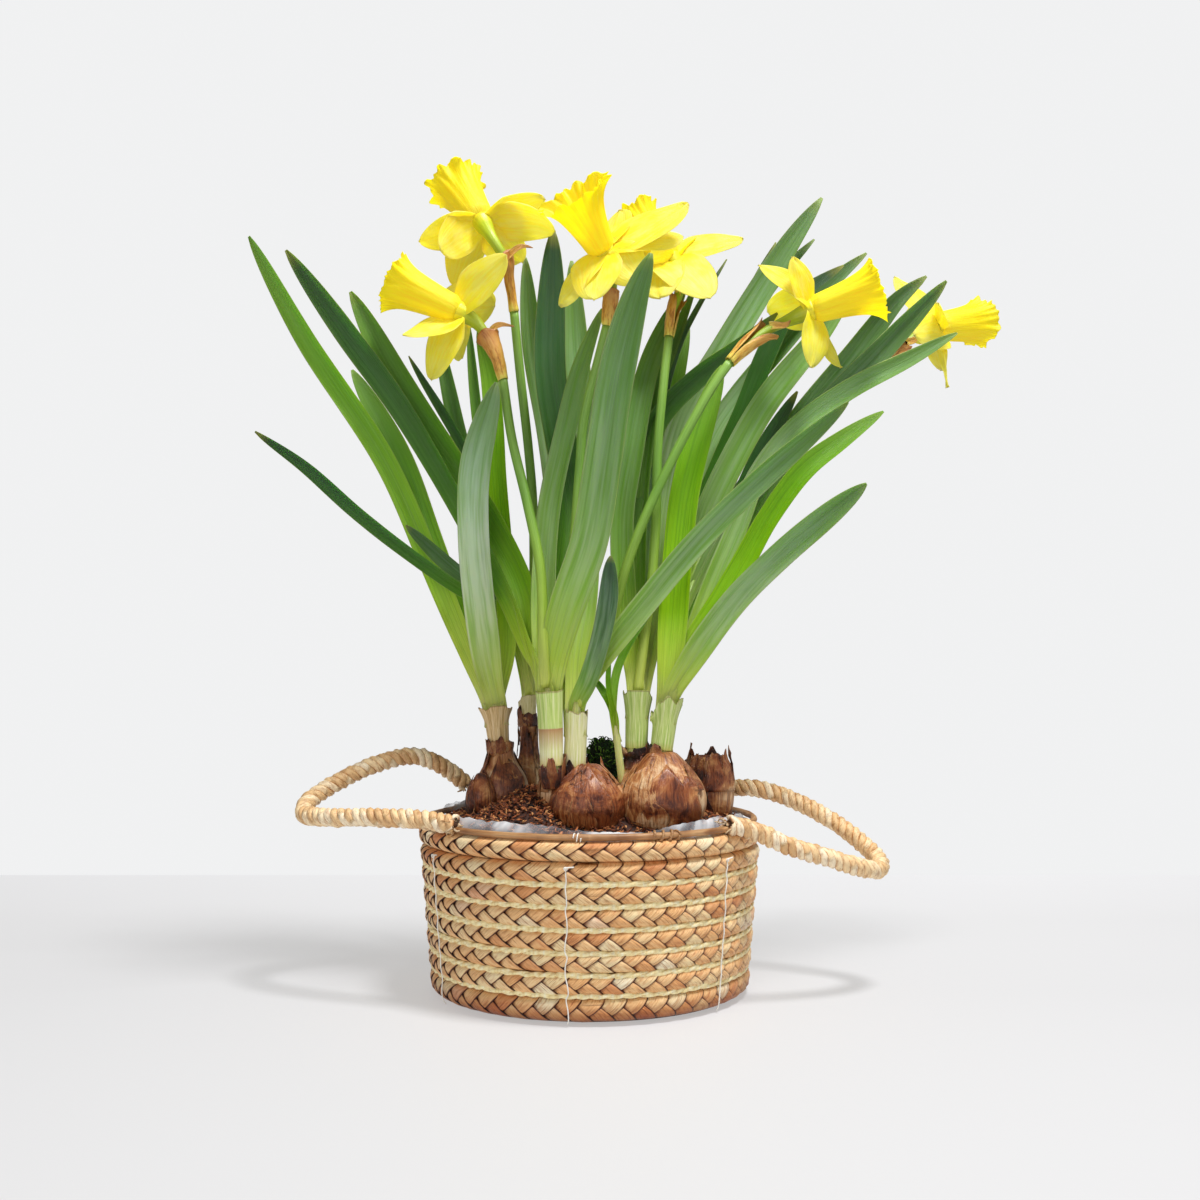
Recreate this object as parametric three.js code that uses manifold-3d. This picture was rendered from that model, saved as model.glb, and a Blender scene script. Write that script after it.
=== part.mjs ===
// Potted daffodils: a round basket of stitched plaits with two wrapped rope handles, lined with
// clear film and filled with soil, holding bulbs whose shoots carry strap leaves and six flowers.
// Millimetres, +Z up, the basket stands on z = 0 and its axis is the Z axis. -Y is the front.
import * as THREE from 'three';
import { mergeVertices } from 'three/addons/utils/BufferGeometryUtils.js';
import Module from 'manifold-3d';

const wasm = await Module();
wasm.setup();

// Clearance between neighbouring pieces.
const GAP = 0.3;

// Basket.
const ROUND_SIDES = 28;
const WALL_FOOT_RADIUS = 103;
const WALL_FLARE = 0.078;
const WALL_THICKNESS = 8.5;
const WALL_TOP = 108.5;
const GROOVE_DEPTH = 4.5;
const GROOVE_HALF_HEIGHT = 4.4;
const GROOVE_HEIGHTS = [18, 30, 43, 56.7, 70.5, 83.5, 96.2];
const BASE_THICKNESS = 8;
const RAFFIA_RADIUS = 1.6;
const RAFFIA_INSET = 1.5;
const HOOP_RADIUS = 106;
const HOOP_CANE_RADIUS = 2.2;
const STITCH_RADIUS = 0.6;
const STITCH_ANGLES = [-60, -7, 49, 109, 170, 232];
const STITCH_BOTTOM = 3;
const STITCH_TOP = 94;

// Rope handles, as [x, y, z] points from the front fixing round to the back fixing.
const ROPE_RADIUS = 6;
const ROPE_SIDES = 6;
const ROPE_STEPS = 18;
const LEFT_HANDLE = [
  [-80, -70, 114], [-102, -59, 116], [-136, -45, 116], [-166, -28, 114], [-184, -8, 114],
  [-184, 10, 121], [-164, 25, 134], [-140, 38, 144], [-119, 46, 147], [-100, 52, 139], [-86, 58, 127],
];
const RIGHT_HANDLE = [
  [84, -66, 114], [103, -56, 108], [122, -50, 99], [146, -42, 91], [172, -28, 82],
  [187, -9, 79], [186, 8, 86], [164, 24, 104], [138, 36, 118], [116, 42, 125], [97, 46, 126],
];

// Film liner and soil.
const LINER_THICKNESS = 0.7;
const LINER_RIM = 113;
const LINER_WAVE = 2.6;
const SOIL_EDGE = 110.5;
const SOIL_MOUND = 12;
const SOIL_LUMP = 1.6;

// Strap leaves.
const LEAF_EDGE = 0.7;
const LEAF_RIB = 1.9;
const LEAF_STATIONS = [0, 0.18, 0.4, 0.62, 0.8, 0.93, 1];
const NARROW_LEAF = 9.5;
const CORE_SIDES = 8;
const LEAF_FOLD = 0.13;
const STALK_RADIUS = 3.1;
const STALK_SIDES = 5;
const STALK_STEPS = 8;

// Flowers.
const PETAL_EDGE = 0.6;
const PETAL_RIB = 1.1;
const PETAL_STATIONS = [0.12, 0.44, 0.8, 1];
const PETAL_BEND = 15;
const PETAL_OUTLINE = [0.5, 1, 0.86, 0.2];
const PETAL_CUP = 0.1;
const CORONA_COLUMNS = 16;
const CORONA_STATIONS = [0, 0.62, 1];
const CORONA_THICKNESS = 0.8;
const CORONA_SEAT = 0.6;
const INNER_PETAL_SEAT = -0.7;
const OUTER_PETAL_SEAT = -2.3;
const TUBE_MOUTH = 7;
const TUBE_SIDES = 6;

// Every point of a bulb, leaf or flower is given as [x, z, y]: x across and z up where an eye in
// front of the basket sees it on the plane through the basket's axis, and y how far behind (+) or
// in front of (-) that plane the point really lies. The eye stands EYE_DISTANCE in front.
const EYE_DISTANCE = 970;
const EYE_HEIGHT = 221;
const EYE_SIDE = 6.5;
const LOOKING = new THREE.Vector3(0, 1, 0);

function seen([x, z, y]) {
  const reach = (EYE_DISTANCE + y) / EYE_DISTANCE;
  return new THREE.Vector3(EYE_SIDE + (x - EYE_SIDE) * reach, y, EYE_HEIGHT + (z - EYE_HEIGHT) * reach);
}

// Bulbs: lobes of [centre x, foot z, centre y, radius, height, shape], and the shoot holes.
const ONION = [[0, 0], [0.6, 0.05], [0.95, 0.25], [0.98, 0.5], [0.74, 0.74], [0.44, 0.93], [0.42, 1]];
const ROUND = [[0, 0], [0.6, 0.06], [0.96, 0.28], [0.99, 0.56], [0.78, 0.82], [0.4, 0.97], [0, 1]];
const LONG_NECK = [[0, 0], [0.6, 0.05], [1, 0.28], [0.86, 0.48], [0.52, 0.64], [0.44, 0.82], [0.43, 1]];
const TORN_CUP = [[0, 0], [0.6, 0.05], [0.94, 0.26], [1, 0.5], [0.94, 0.76], [0.86, 1], [0.62, 0.98], [0.4, 0.84], [0, 0.8]];
const BULB_SIDES = 9;
const BULBS = [
  { name: 'bulb_1', lobes: [[-57, 106, 5, 18, 54, ONION], [-71, 108, -13, 9.5, 33, ROUND]] },
  { name: 'bulb_2', lobes: [[-40.5, 106, 36, 13.5, 71, LONG_NECK]] },
  { name: 'bulb_3', lobes: [[-2.5, 97, -45, 22.5, 50, ROUND], [-20, 100, -47, 15, 47, ROUND]] },
  { name: 'bulb_4', lobes: [[49, 97, -38, 24, 58, ROUND], [31, 107, -31, 13.5, 48, ROUND]] },
  { name: 'bulb_5', lobes: [[77, 102, 5, 17, 49, TORN_CUP]] },
];

// Shoots: the core stands in the bulb from foot to top, inside its sheath, and the leaves and the
// flower stalks grow out of its top. Each leaf has a width, a turn about its own line at its base
// and tip in degrees (0 faces the front) and a route from base to tip.
const SHOOTS = [
  {
    name: 'shoot_1',
    foot: [-58.6, 152, 5],
    top: [-62, 185, 5],
    radius: 6.4,
    leaves: [
      { width: 16, turn: [10, 25], route: [[-63, 183, 6], [-77, 213, 14], [-104, 278, 27], [-133, 343, 34], [-184, 421, 38], [-222, 489, 34]] },
      { width: 17, turn: [-10, -20], route: [[-62, 183, 8], [-76, 213, 22], [-103, 288, 42], [-123, 343, 54], [-155, 402, 62]] },
      { width: 20, turn: [5, -25], route: [[-61, 183, 3], [-67, 213, -13], [-76, 290, -30], [-75, 340, -34], [-61, 394, -36]] },
      { width: 14, turn: [20, 15], route: [[-61, 183, 6], [-54, 215, 6], [-54, 252, 8], [-60, 330, 22], [-65, 395, 32], [-73, 428, 38]] },
    ],
    stalks: [],
  },
  {
    name: 'shoot_2',
    foot: [-40.5, 170, 36],
    top: [-41, 194, 36],
    radius: 4.6,
    leaves: [
      { width: 11, turn: [40, 35], route: [[-41, 192, 35], [-46, 222, 30], [-60, 247, 18], [-83, 259, 6], [-104, 273, -4], [-150, 308, -22], [-185, 339, -38], [-218, 362, -52]] },
      { width: 12, turn: [20, 30], route: [[-41, 192, 36], [-46, 228, 34], [-58, 250, 26], [-83, 268, 16], [-120, 301, 8]] },
      { width: 9, turn: [30, 40], route: [[-40, 192, 37], [-42, 226, 38], [-52, 278, 36], [-66, 320, 34], [-84, 355, 34], [-118, 411, 36]] },
      { width: 12, turn: [10, 10], route: [[-40, 192, 40], [-43, 215, 46], [-52, 252, 52], [-68, 304, 56], [-84, 355, 60], [-100, 428, 62]] },
      { width: 9, turn: [35, 20], route: [[-40, 192, 42], [-44, 225, 52], [-56, 285, 66], [-71, 356, 76], [-79, 433, 82]] },
    ],
    stalks: [
      [[-40, 190, 36], [-37, 239, 32], [-37, 311, 24], [-40, 350, 18], [-45, 395, 8], [-49.5, 440, 0]],
    ],
  },
  {
    name: 'shoot_3',
    foot: [-24.7, 137, -50],
    top: [-26.7, 199, -50],
    radius: 6,
    leaves: [
      { width: 17, turn: [60, 10], route: [[-29, 197, -50], [-39, 218, -42], [-52, 251, -22], [-65, 277, -8], [-88, 319, 0], [-124, 379, 0], [-160, 428, -6], [-198, 480, -14]] },
      { width: 19, turn: [40, 0], route: [[-29, 197, -49], [-36, 225, -40], [-44, 262, -22], [-65, 304, -2], [-88, 339, 8], [-124, 394, 6], [-156, 453, 2]] },
      { width: 23, turn: [0, 20], route: [[-26, 197, -52], [-17.5, 239, -62], [0, 291, -70], [9, 343, -76], [17, 395, -82], [29, 446, -88], [40, 478, -92]] },
      { width: 17, turn: [15, 40], route: [[-29, 197, -49], [-30, 240, -40], [-28, 290, -32], [-24, 322, -28], [-15, 362, -26], [-6, 400, -20], [8, 442, -14]] },
      { width: 21, turn: [0, -10], route: [[-26, 197, -47], [-19, 246, -32], [-11, 311, -14], [-19, 356, 0], [-26, 400, 8], [-25, 460, 14], [-24, 493, 16]] },
    ],
    stalks: [
      [[-29, 196, -51], [-32, 222, -54], [-32.5, 250, -52], [-35, 274, -48], [-43, 316, -38], [-51, 358, -28], [-56.6, 395.5, -22]],
      [[-26, 196, -49], [-20, 226, -46], [-12, 275, -40], [-7, 335, -36], [-4, 370, -36], [6, 411, -36], [11, 431, -36]],
    ],
  },
  {
    name: 'shoot_4',
    foot: [-10.4, 136, -43],
    top: [-8.5, 186, -43],
    radius: 5.9,
    leaves: [
      { width: 12.5, turn: [20, 10], route: [[-8, 184, -44], [-1, 200, -52], [7, 226, -60], [12, 252, -66], [13.5, 281, -70]] },
      { width: 15, turn: [20, -35], route: [[-8, 184, -42], [-1, 200, -44], [10, 217, -50], [39, 254, -60], [72, 293, -66], [111, 331, -68], [168, 381, -64]] },
      { width: 17, turn: [0, 0], route: [[-10, 184, -41], [-9, 213, -34], [-4, 250, -20], [-2, 300, 0], [-5, 356, 14], [-9, 421, 24], [-12, 473, 28]] },
      { width: 17, turn: [10, 25], route: [[-11, 184, -40], [-14, 215, -28], [-18, 265, -8], [-20, 310, 6], [-26, 360, 20], [-37, 421, 36], [-42, 475, 42]] },
    ],
    stalks: [
      [[-7, 183, -42], [2, 205, -42], [14, 239, -44], [24, 275, -46], [37, 309, -46], [62, 360, -40], [81, 393, -34], [91, 407, -30]],
    ],
  },
  {
    name: 'shoot_5',
    foot: [21.2, 132, -36],
    top: [15, 182, -39.5],
    radius: 2.4,
    leaves: [
      { width: 5, turn: [0, 20], route: [[15, 180, -41], [8, 194, -34], [1, 203, -28]] },
      { width: 3.4, turn: [0, 0], route: [[15, 180, -41], [12, 196, -41], [12.6, 217, -40]] },
      { width: 5.5, turn: [10, 30], route: [[15, 180, -41], [17, 203, -40], [22, 217, -39], [34, 238, -38], [50, 262, -38]] },
    ],
    stalks: [],
  },
  {
    name: 'shoot_6',
    foot: [30, 150, -30],
    top: [31, 195, -30],
    radius: 6,
    leaves: [
      { width: 15, turn: [0, 15], route: [[30, 193, -31], [24, 239, -24], [21, 304, -16], [27, 345, -10], [38, 402, 8], [50, 432, 18], [62, 454, 24]] },
      { width: 11, turn: [15, 30], route: [[31, 193, -28], [31, 260, -10], [34, 330, 0], [42, 384, 12], [54, 417, 24], [69, 458, 34]] },
      { width: 8, turn: [50, 50], route: [[32, 193, -28], [37, 290, 2], [45, 365, 14], [58, 417, 24], [72, 445, 30], [89, 474, 34]] },
      { width: 15, turn: [0, 0], route: [[31, 193, -26], [38, 270, 14], [46, 340, 34], [54, 390, 46], [64, 432, 54]] },
      { width: 15, turn: [0, -30], route: [[30, 193, -29], [22, 250, -16], [25, 304, -6], [34, 345, 4], [47, 374, 8], [72, 399, 10], [98, 418, 12], [122, 439, 14]] },
      { width: 19, turn: [10, 15], route: [[33, 193, -28], [42, 240, -6], [46, 291, 12], [52, 335, 28], [62, 372, 38], [88, 416, 48], [107, 447, 54], [130, 484, 58], [151, 514, 60]] },
      { width: 14, turn: [20, 35], route: [[32, 193, -26], [44, 270, 14], [54, 335, 38], [68, 381, 50], [96, 424, 60], [120, 459, 66], [146, 487, 70]] },
      { width: 9, turn: [40, 30], route: [[32, 193, -25], [44, 290, 30], [56, 350, 52], [72, 392, 62], [92, 424, 70], [108, 460, 74], [121, 485, 76]] },
    ],
    stalks: [
      [[31, 192, -31], [36, 232, -32], [40, 262, -30], [43, 304, -26], [44, 350, -20], [48, 395, -10], [51.4, 423.5, -2]],
    ],
  },
  {
    name: 'shoot_7',
    foot: [45.6, 148, -35],
    top: [51, 191, -35],
    radius: 6,
    leaves: [
      { width: 19, turn: [0, 20], route: [[50, 189, -37], [53, 226, -36], [57, 278, -30], [62, 322, -22], [72, 362, -14], [86, 405, -8]] },
      { width: 17, turn: [0, -20], route: [[52, 189, -37], [65, 212, -42], [94, 252, -46], [123, 281, -48], [156, 309, -50], [180, 328, -50]] },
      { width: 16, turn: [10, 40], route: [[52, 189, -34], [65, 220, -36], [82, 246, -34], [100, 276, -30], [117, 306, -28], [140, 337, -28], [163, 355, -28], [191, 375, -28]] },
      { width: 14, turn: [10, 20], route: [[52, 189, -33], [66, 226, -26], [80, 262, -20], [96, 300, -14], [109, 332, -12], [133, 363, -12], [169, 389, -14], [208, 409, -16], [239, 426, -16]] },
      { width: 17, turn: [10, 10], route: [[51, 189, -31], [60, 226, -16], [76, 268, -2], [96, 308, 6], [116, 340, 10], [140, 373, 14], [170, 409, 16], [200, 447, 16], [219, 463, 14]] },
      { width: 17, turn: [0, -15], route: [[51, 189, -32], [62, 228, -20], [80, 270, -8], [104, 312, -2], [130, 350, 2], [166, 391, 4], [184, 409, 4], [203, 429, 4], [221, 448, 2], [232, 460, 0]] },
      { width: 14, turn: [10, 35], route: [[51, 189, -33], [62, 226, -22], [75, 256, -12], [88, 284, -6], [100, 320, -2], [114, 351, 0], [135, 388, 4]] },
      { width: 18, turn: [0, 10], route: [[51, 189, -31], [56, 226, -16], [64, 262, 0], [76, 306, 14], [94, 345, 24], [116, 383, 32], [146, 420, 38], [168, 448, 42]] },
      { width: 15, turn: [20, 25], route: [[51, 189, -29], [56, 230, -6], [66, 290, 18], [84, 337, 32], [101, 376, 40], [116, 414, 44], [134, 447, 48], [165, 470, 52]] },
      { width: 15, turn: [0, 20], route: [[50, 189, -28], [54, 240, 2], [62, 300, 28], [78, 356, 44], [96, 384, 50], [133, 428, 56], [158, 459, 60], [180, 478, 62]] },
    ],
    stalks: [
      [[51, 188, -33], [60, 240, -14], [80, 298, 20], [108, 340, 34], [150, 380, 38], [192, 408, 36]],
    ],
  },
];

// Sheaths: a sleeve round each shoot's core between two heights on the core's line, with the
// outer radius at its foot, middle and top, and how far its torn top edge dips.
const SHEATH_WALL = 0.9;
const SHEATH_SIDES = 8;
const SHEATHS = [
  { shoot: 0, from: 0.25, to: 0.93, radii: [7.6, 8.2, 10.8], torn: 2.5 },
  { shoot: 1, from: 0.3, to: 0.86, radii: [5.9, 6.2, 6.4], torn: 3.5 },
  { shoot: 2, from: 0.12, to: 0.92, radii: [7.3, 7.8, 8.8], torn: 2 },
  { shoot: 3, from: 0.14, to: 0.94, radii: [7.2, 7.2, 7.2], torn: 1.5 },
  { shoot: 5, from: 0.13, to: 0.94, radii: [7.2, 7.6, 9.1], torn: 2.5 },
  { shoot: 6, from: 0.16, to: 0.94, radii: [7.2, 7.6, 9], torn: 4 },
];

// Flowers. The pedicel runs from the stalk's top to the flower's centre. Each petal is
// [dx, dy, dz, width] from the centre to its tip, with a face direction where it is twisted.
const VIEWER = [0, -1, 0];
const FLOWERS = [
  {
    pedicel: [[-49.5, 440, 0], [-52, 457, -3], [-55, 473, -8], [-64, 488, -7], [-71, 499, 5]],
    axis: [-0.45, 0.52, 0.74],
    corona: { length: 42, foot: 9.5, mouth: 18.8 },
    spathe: { to: 0.53, radii: [3.7, 3.3, 3.6, 5.8] },
    petals: [
      [-40, -9, -15.6, 22], [-26, -16, -22, 22, [-0.3, -0.7, -0.5]], [-19, 12, -40, 26],
      [24, 30, -18, 22], [48.5, 6, -4.6, 24], [41, 8, 18, 20],
    ],
  },
  {
    pedicel: [[-56.6, 395.5, -22], [-61, 412, -20], [-68, 425, -17], [-75.5, 434, -15], [-86, 440, -15]],
    axis: [-0.9, 0.05, 0.43],
    corona: { length: 46, foot: 8.5, mouth: 17.5 },
    spathe: { to: 0.6, radii: [3.7, 4.6, 5.6, 6.4] },
    petals: [
      [32, -18, 32, 24, [-0.3, -0.9, 0.3]], [19, 36, 13, 24], [-14, 38, 22, 22],
      [-35, -19, -18, 23, [-0.2, -0.6, 0.7]], [-17, -6, -45, 22, [-0.5, -0.8, 0]], [-3, 36, -22, 23],
    ],
  },
  {
    pedicel: [[11, 431, -36], [13, 445, -38], [14.5, 458, -41], [13.5, 468, -43], [8, 480, -45]],
    axis: [-0.51, -0.15, 0.85],
    corona: { length: 38.5, foot: 8.5, mouth: 20 },
    spathe: { to: 0.55, radii: [3.8, 5, 5.4, 5.6] },
    petals: [
      [10, 30, 34, 26], [52, -10, 28, 25, [-0.3, -0.8, 0.6]], [50, -2, 8, 24, [-0.1, -0.7, 0.7]],
      [24, -14, -20, 24, [-0.2, -0.8, 0.4]], [-6, -25, -36, 27, [-0.3, -0.8, 0.3]], [-27, -13, -36, 23, [-0.7, -0.6, 0.2]],
    ],
  },
  {
    pedicel: [[51.4, 423.5, -2], [54, 440, 1], [58, 453, 5], [58.5, 463, 7], [52, 474, 12]],
    axis: [-0.62, 0.3, 0.72],
    corona: { length: 40, foot: 9, mouth: 18 },
    spathe: { to: 0.55, radii: [3.8, 4.6, 5, 5.4] },
    petals: [
      [48, 0, 14, 23, [-0.1, -0.7, 0.7]], [23, -30, -31, 31, [0.1, -0.8, 0.5]], [-8, -31, -32, 27, [-0.2, -0.8, 0.4]],
      [-22, -28, -8, 22], [-18, 38, -6, 24], [18, 36, 20, 24],
    ],
  },
  {
    pedicel: [[91, 407, -30], [102, 418, -26], [116, 428, -19], [132, 435.5, -13], [145.2, 441, -14]],
    axis: [0.94, -0.1, 0.31],
    corona: { length: 43, foot: 8.5, mouth: 17 },
    spathe: { to: 0.58, radii: [4.2, 5.4, 6, 6.8] },
    petals: [
      [-36, -14, 25.6, 15, [0.3, -0.8, 0.5]], [-13, -16, 31, 17, [0.5, -0.8, 0.2]], [6, 36, 18, 20],
      [22.5, 12, -34, 15, [0.6, -0.6, 0.4]], [-3, -14, -39, 20, [0.6, -0.7, 0.1]], [-23, 34, 7, 24],
    ],
  },
  {
    pedicel: [[192, 408, 36], [201, 416, 35], [209, 422, 36], [216.5, 426, 40], [225.5, 430, 47]],
    axis: [0.82, 0.53, 0.18],
    corona: { length: 43, foot: 9.5, mouth: 15.8 },
    spathe: { to: 0.4, radii: [3.8, 4.4, 5, 5.4] },
    petals: [
      [-27, 6, 36, 21, [0.5, -0.8, 0.3]], [-12, 40, 14, 22], [10, 24, -25, 18],
      [7, -10, -43, 14, [0.8, -0.4, 0.1]], [-21, -30, -12, 22, [0.7, -0.5, 0.4]], [-6, -36, 8, 15, [0.7, -0.3, 0.5]],
    ],
  },
];
const STYLE_RADIUS = 1.2;

// Geometry from a list of triangles, each three points, turned so that its faces point outwards.
function closedGeometry(triangles) {
  const corners = triangles.flat().flatMap((point) => [point.x, point.y, point.z]);
  let volume = 0;
  for (const [a, b, c] of triangles) volume += a.dot(new THREE.Vector3().crossVectors(b, c));
  const geometry = new THREE.BufferGeometry();
  geometry.setAttribute('position', new THREE.Float32BufferAttribute(corners, 3));
  return volume < 0 ? turnedRound(geometry) : geometry;
}

// The same triangles with each face turned round.
function turnedRound(geometry) {
  const positions = geometry.getAttribute('position');
  for (let i = 0; i < positions.count; i += 3) {
    const second = new THREE.Vector3().fromBufferAttribute(positions, i + 1);
    const third = new THREE.Vector3().fromBufferAttribute(positions, i + 2);
    positions.setXYZ(i + 1, third.x, third.y, third.z);
    positions.setXYZ(i + 2, second.x, second.y, second.z);
  }
  return geometry;
}

// A closed geometry as a solid that can be joined and cut.
function toSolid(geometry) {
  const loose = geometry.index ? geometry.toNonIndexed() : geometry;
  loose.deleteAttribute('normal');
  loose.deleteAttribute('uv');
  const merged = mergeVertices(loose, 1e-4);
  const corners = merged.index.array;
  const kept = [];
  for (let i = 0; i < corners.length; i += 3) {
    const [a, b, c] = [corners[i], corners[i + 1], corners[i + 2]];
    if (a !== b && b !== c && c !== a) kept.push(a, b, c);
  }
  const mesh = new wasm.Mesh({
    numProp: 3,
    vertProperties: new Float32Array(merged.getAttribute('position').array),
    triVerts: new Uint32Array(kept),
  });
  return new wasm.Manifold(mesh);
}

function toGeometry(solid) {
  const mesh = solid.getMesh();
  const geometry = new THREE.BufferGeometry();
  geometry.setAttribute('position', new THREE.Float32BufferAttribute(mesh.vertProperties, 3));
  geometry.setIndex(new THREE.BufferAttribute(mesh.triVerts, 1));
  const flat = geometry.toNonIndexed();
  flat.computeVertexNormals();
  return flat;
}

function joined(solids) {
  return solids.reduce((whole, solid) => whole.add(solid));
}

// The largest of a solid's separate bodies, without crumbs that a cut leaves.
function largestBody(solid) {
  const bodies = solid.decompose();
  return bodies.reduce((best, body) => (body.volume() > best.volume() ? body : best));
}

// A thin plate between a front and a back grid of points, split into triangles alike on both.
function plateGeometry(front, back) {
  const triangles = [];
  const rows = front.length - 1;
  const columns = front[0].length - 1;
  for (let i = 0; i < rows; i += 1) {
    for (let j = 0; j < columns; j += 1) {
      triangles.push([front[i][j], front[i + 1][j], front[i + 1][j + 1]]);
      triangles.push([front[i][j], front[i + 1][j + 1], front[i][j + 1]]);
      triangles.push([back[i][j], back[i + 1][j + 1], back[i + 1][j]]);
      triangles.push([back[i][j], back[i][j + 1], back[i + 1][j + 1]]);
    }
    triangles.push([front[i + 1][0], front[i][0], back[i][0]]);
    triangles.push([front[i + 1][0], back[i][0], back[i + 1][0]]);
    triangles.push([front[i][columns], front[i + 1][columns], back[i + 1][columns]]);
    triangles.push([front[i][columns], back[i + 1][columns], back[i][columns]]);
  }
  for (let j = 0; j < columns; j += 1) {
    triangles.push([front[0][j], front[0][j + 1], back[0][j + 1]]);
    triangles.push([front[0][j], back[0][j + 1], back[0][j]]);
    triangles.push([front[rows][j + 1], front[rows][j], back[rows][j]]);
    triangles.push([front[rows][j + 1], back[rows][j], back[rows][j + 1]]);
  }
  return closedGeometry(triangles);
}

// A thin sleeve between outer and inner rings of points, open at both ends.
function sleeveGeometry(outer, inner) {
  const triangles = [];
  const rows = outer.length - 1;
  const around = outer[0].length;
  for (let j = 0; j < around; j += 1) {
    const k = (j + 1) % around;
    for (let i = 0; i < rows; i += 1) {
      triangles.push([outer[i][j], outer[i + 1][j], outer[i + 1][k]]);
      triangles.push([outer[i][j], outer[i + 1][k], outer[i][k]]);
      triangles.push([inner[i][j], inner[i + 1][k], inner[i + 1][j]]);
      triangles.push([inner[i][j], inner[i][k], inner[i + 1][k]]);
    }
    triangles.push([outer[0][j], outer[0][k], inner[0][k]]);
    triangles.push([outer[0][j], inner[0][k], inner[0][j]]);
    triangles.push([outer[rows][k], outer[rows][j], inner[rows][j]]);
    triangles.push([outer[rows][k], inner[rows][j], inner[rows][k]]);
  }
  return closedGeometry(triangles);
}

// A round solid through rings of points, closed at both ends.
function loftGeometry(rings) {
  const triangles = [];
  const around = rings[0].length;
  const middle = (ring) => ring.reduce((sum, point) => sum.add(point), new THREE.Vector3()).divideScalar(around);
  const first = middle(rings[0]);
  const last = middle(rings[rings.length - 1]);
  for (let j = 0; j < around; j += 1) {
    const k = (j + 1) % around;
    for (let i = 0; i < rings.length - 1; i += 1) {
      triangles.push([rings[i][j], rings[i + 1][j], rings[i + 1][k]]);
      triangles.push([rings[i][j], rings[i + 1][k], rings[i][k]]);
    }
    triangles.push([rings[0][j], rings[0][k], first]);
    triangles.push([rings[rings.length - 1][k], rings[rings.length - 1][j], last]);
  }
  return closedGeometry(triangles);
}

// The two directions across a line that runs along a tangent: one square to the view, one facing it.
function crossDirections(tangent) {
  const flat = new THREE.Vector3().crossVectors(LOOKING, tangent).normalize();
  const face = new THREE.Vector3().crossVectors(flat, tangent).normalize();
  return { flat, face };
}

function smoothPath(points) {
  return new THREE.CatmullRomCurve3(points, false, 'centripetal');
}

function ringAt(centre, tangent, radius, sides) {
  const { flat, face } = crossDirections(tangent);
  return Array.from({ length: sides }, (_, side) => {
    const angle = (side / sides) * Math.PI * 2;
    return centre.clone()
      .addScaledVector(flat, radius * Math.cos(angle))
      .addScaledVector(face, radius * Math.sin(angle));
  });
}

// Rings along a path at even stations between two fractions of its length.
function ringsAlong(path, from, to, radii, sides) {
  return radii.map((radius, index) => {
    const u = from + ((to - from) * index) / (radii.length - 1);
    return ringAt(path.getPointAt(u), path.getTangentAt(u), radius, sides);
  });
}

// A ring of revolution about the basket's axis from a closed profile of [radius, height].
function turnedSolid(profile, sides) {
  const points = profile.map(([radius, height]) => new THREE.Vector2(radius, height));
  const geometry = new THREE.LatheGeometry(points, sides).rotateX(Math.PI / 2).toNonIndexed();
  const solid = toSolid(geometry);
  return solid.volume() < 0 ? toSolid(turnedRound(geometry)) : solid;
}

function ropeSolid(points, radius, sides, steps) {
  const section = new THREE.Shape(Array.from({ length: sides }, (_, side) => {
    const angle = (side / sides) * Math.PI * 2;
    return new THREE.Vector2(radius * Math.cos(angle), radius * Math.sin(angle));
  }));
  const extrudePath = smoothPath(points);
  return toSolid(new THREE.ExtrudeGeometry(section, { steps, extrudePath, bevelEnabled: false }));
}

// A repeatable number between -1 and 1 for a place on a surface.
function roughness(a, b) {
  const value = Math.sin(a * 12.9898 + b * 78.233) * 43758.5453;
  return 2 * (value - Math.floor(value)) - 1;
}

const potted = new THREE.Group();

function addPiece(name, solid, color, surface) {
  const material = new THREE.MeshStandardMaterial({ color, roughness: surface, metalness: 0 });
  const mesh = new THREE.Mesh(toGeometry(solid), material);
  mesh.name = name;
  potted.add(mesh);
}

// Basket wall: eight plaits stitched edge to edge, with a V groove between each two.
const crestRadius = (height) => WALL_FOOT_RADIUS + WALL_FLARE * height;

function wallSolid(growth) {
  const profile = [[crestRadius(0) - WALL_THICKNESS - growth, -growth], [crestRadius(0) - 3 + growth, -growth]];
  profile.push([crestRadius(4) + growth, 4]);
  for (const height of GROOVE_HEIGHTS) {
    const crest = crestRadius(height) + growth;
    profile.push([crest, height - GROOVE_HALF_HEIGHT], [crest - GROOVE_DEPTH, height], [crest, height + GROOVE_HALF_HEIGHT]);
  }
  profile.push([crestRadius(WALL_TOP) + growth, WALL_TOP - 3]);
  profile.push([crestRadius(WALL_TOP) - 2.5 + growth, WALL_TOP + growth]);
  profile.push([crestRadius(WALL_TOP) - WALL_THICKNESS - growth, WALL_TOP + growth]);
  profile.push(profile[0]);
  return turnedSolid(profile, ROUND_SIDES);
}
addPiece('basket_wall', wallSolid(0), 0xc8955a, 0.85);

// Basket base: a flat plaited disc inside the wall.
const baseRadius = WALL_FOOT_RADIUS - WALL_THICKNESS - GAP;
const baseDisc = new THREE.CylinderGeometry(baseRadius, baseRadius, BASE_THICKNESS, ROUND_SIDES)
  .rotateX(Math.PI / 2)
  .translate(0, 0, BASE_THICKNESS / 2);
addPiece('basket_base', toSolid(baseDisc), 0xb98750, 0.88);

// Raffia cords: one in each groove but the top one.
GROOVE_HEIGHTS.slice(0, 6).forEach((height, index) => {
  const ring = new THREE.TorusGeometry(crestRadius(height) - RAFFIA_INSET, RAFFIA_RADIUS, 3, ROUND_SIDES);
  addPiece(`raffia_cord_${index + 1}`, toSolid(ring.translate(0, 0, height)), 0xe2cf8c, 0.7);
});

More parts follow.
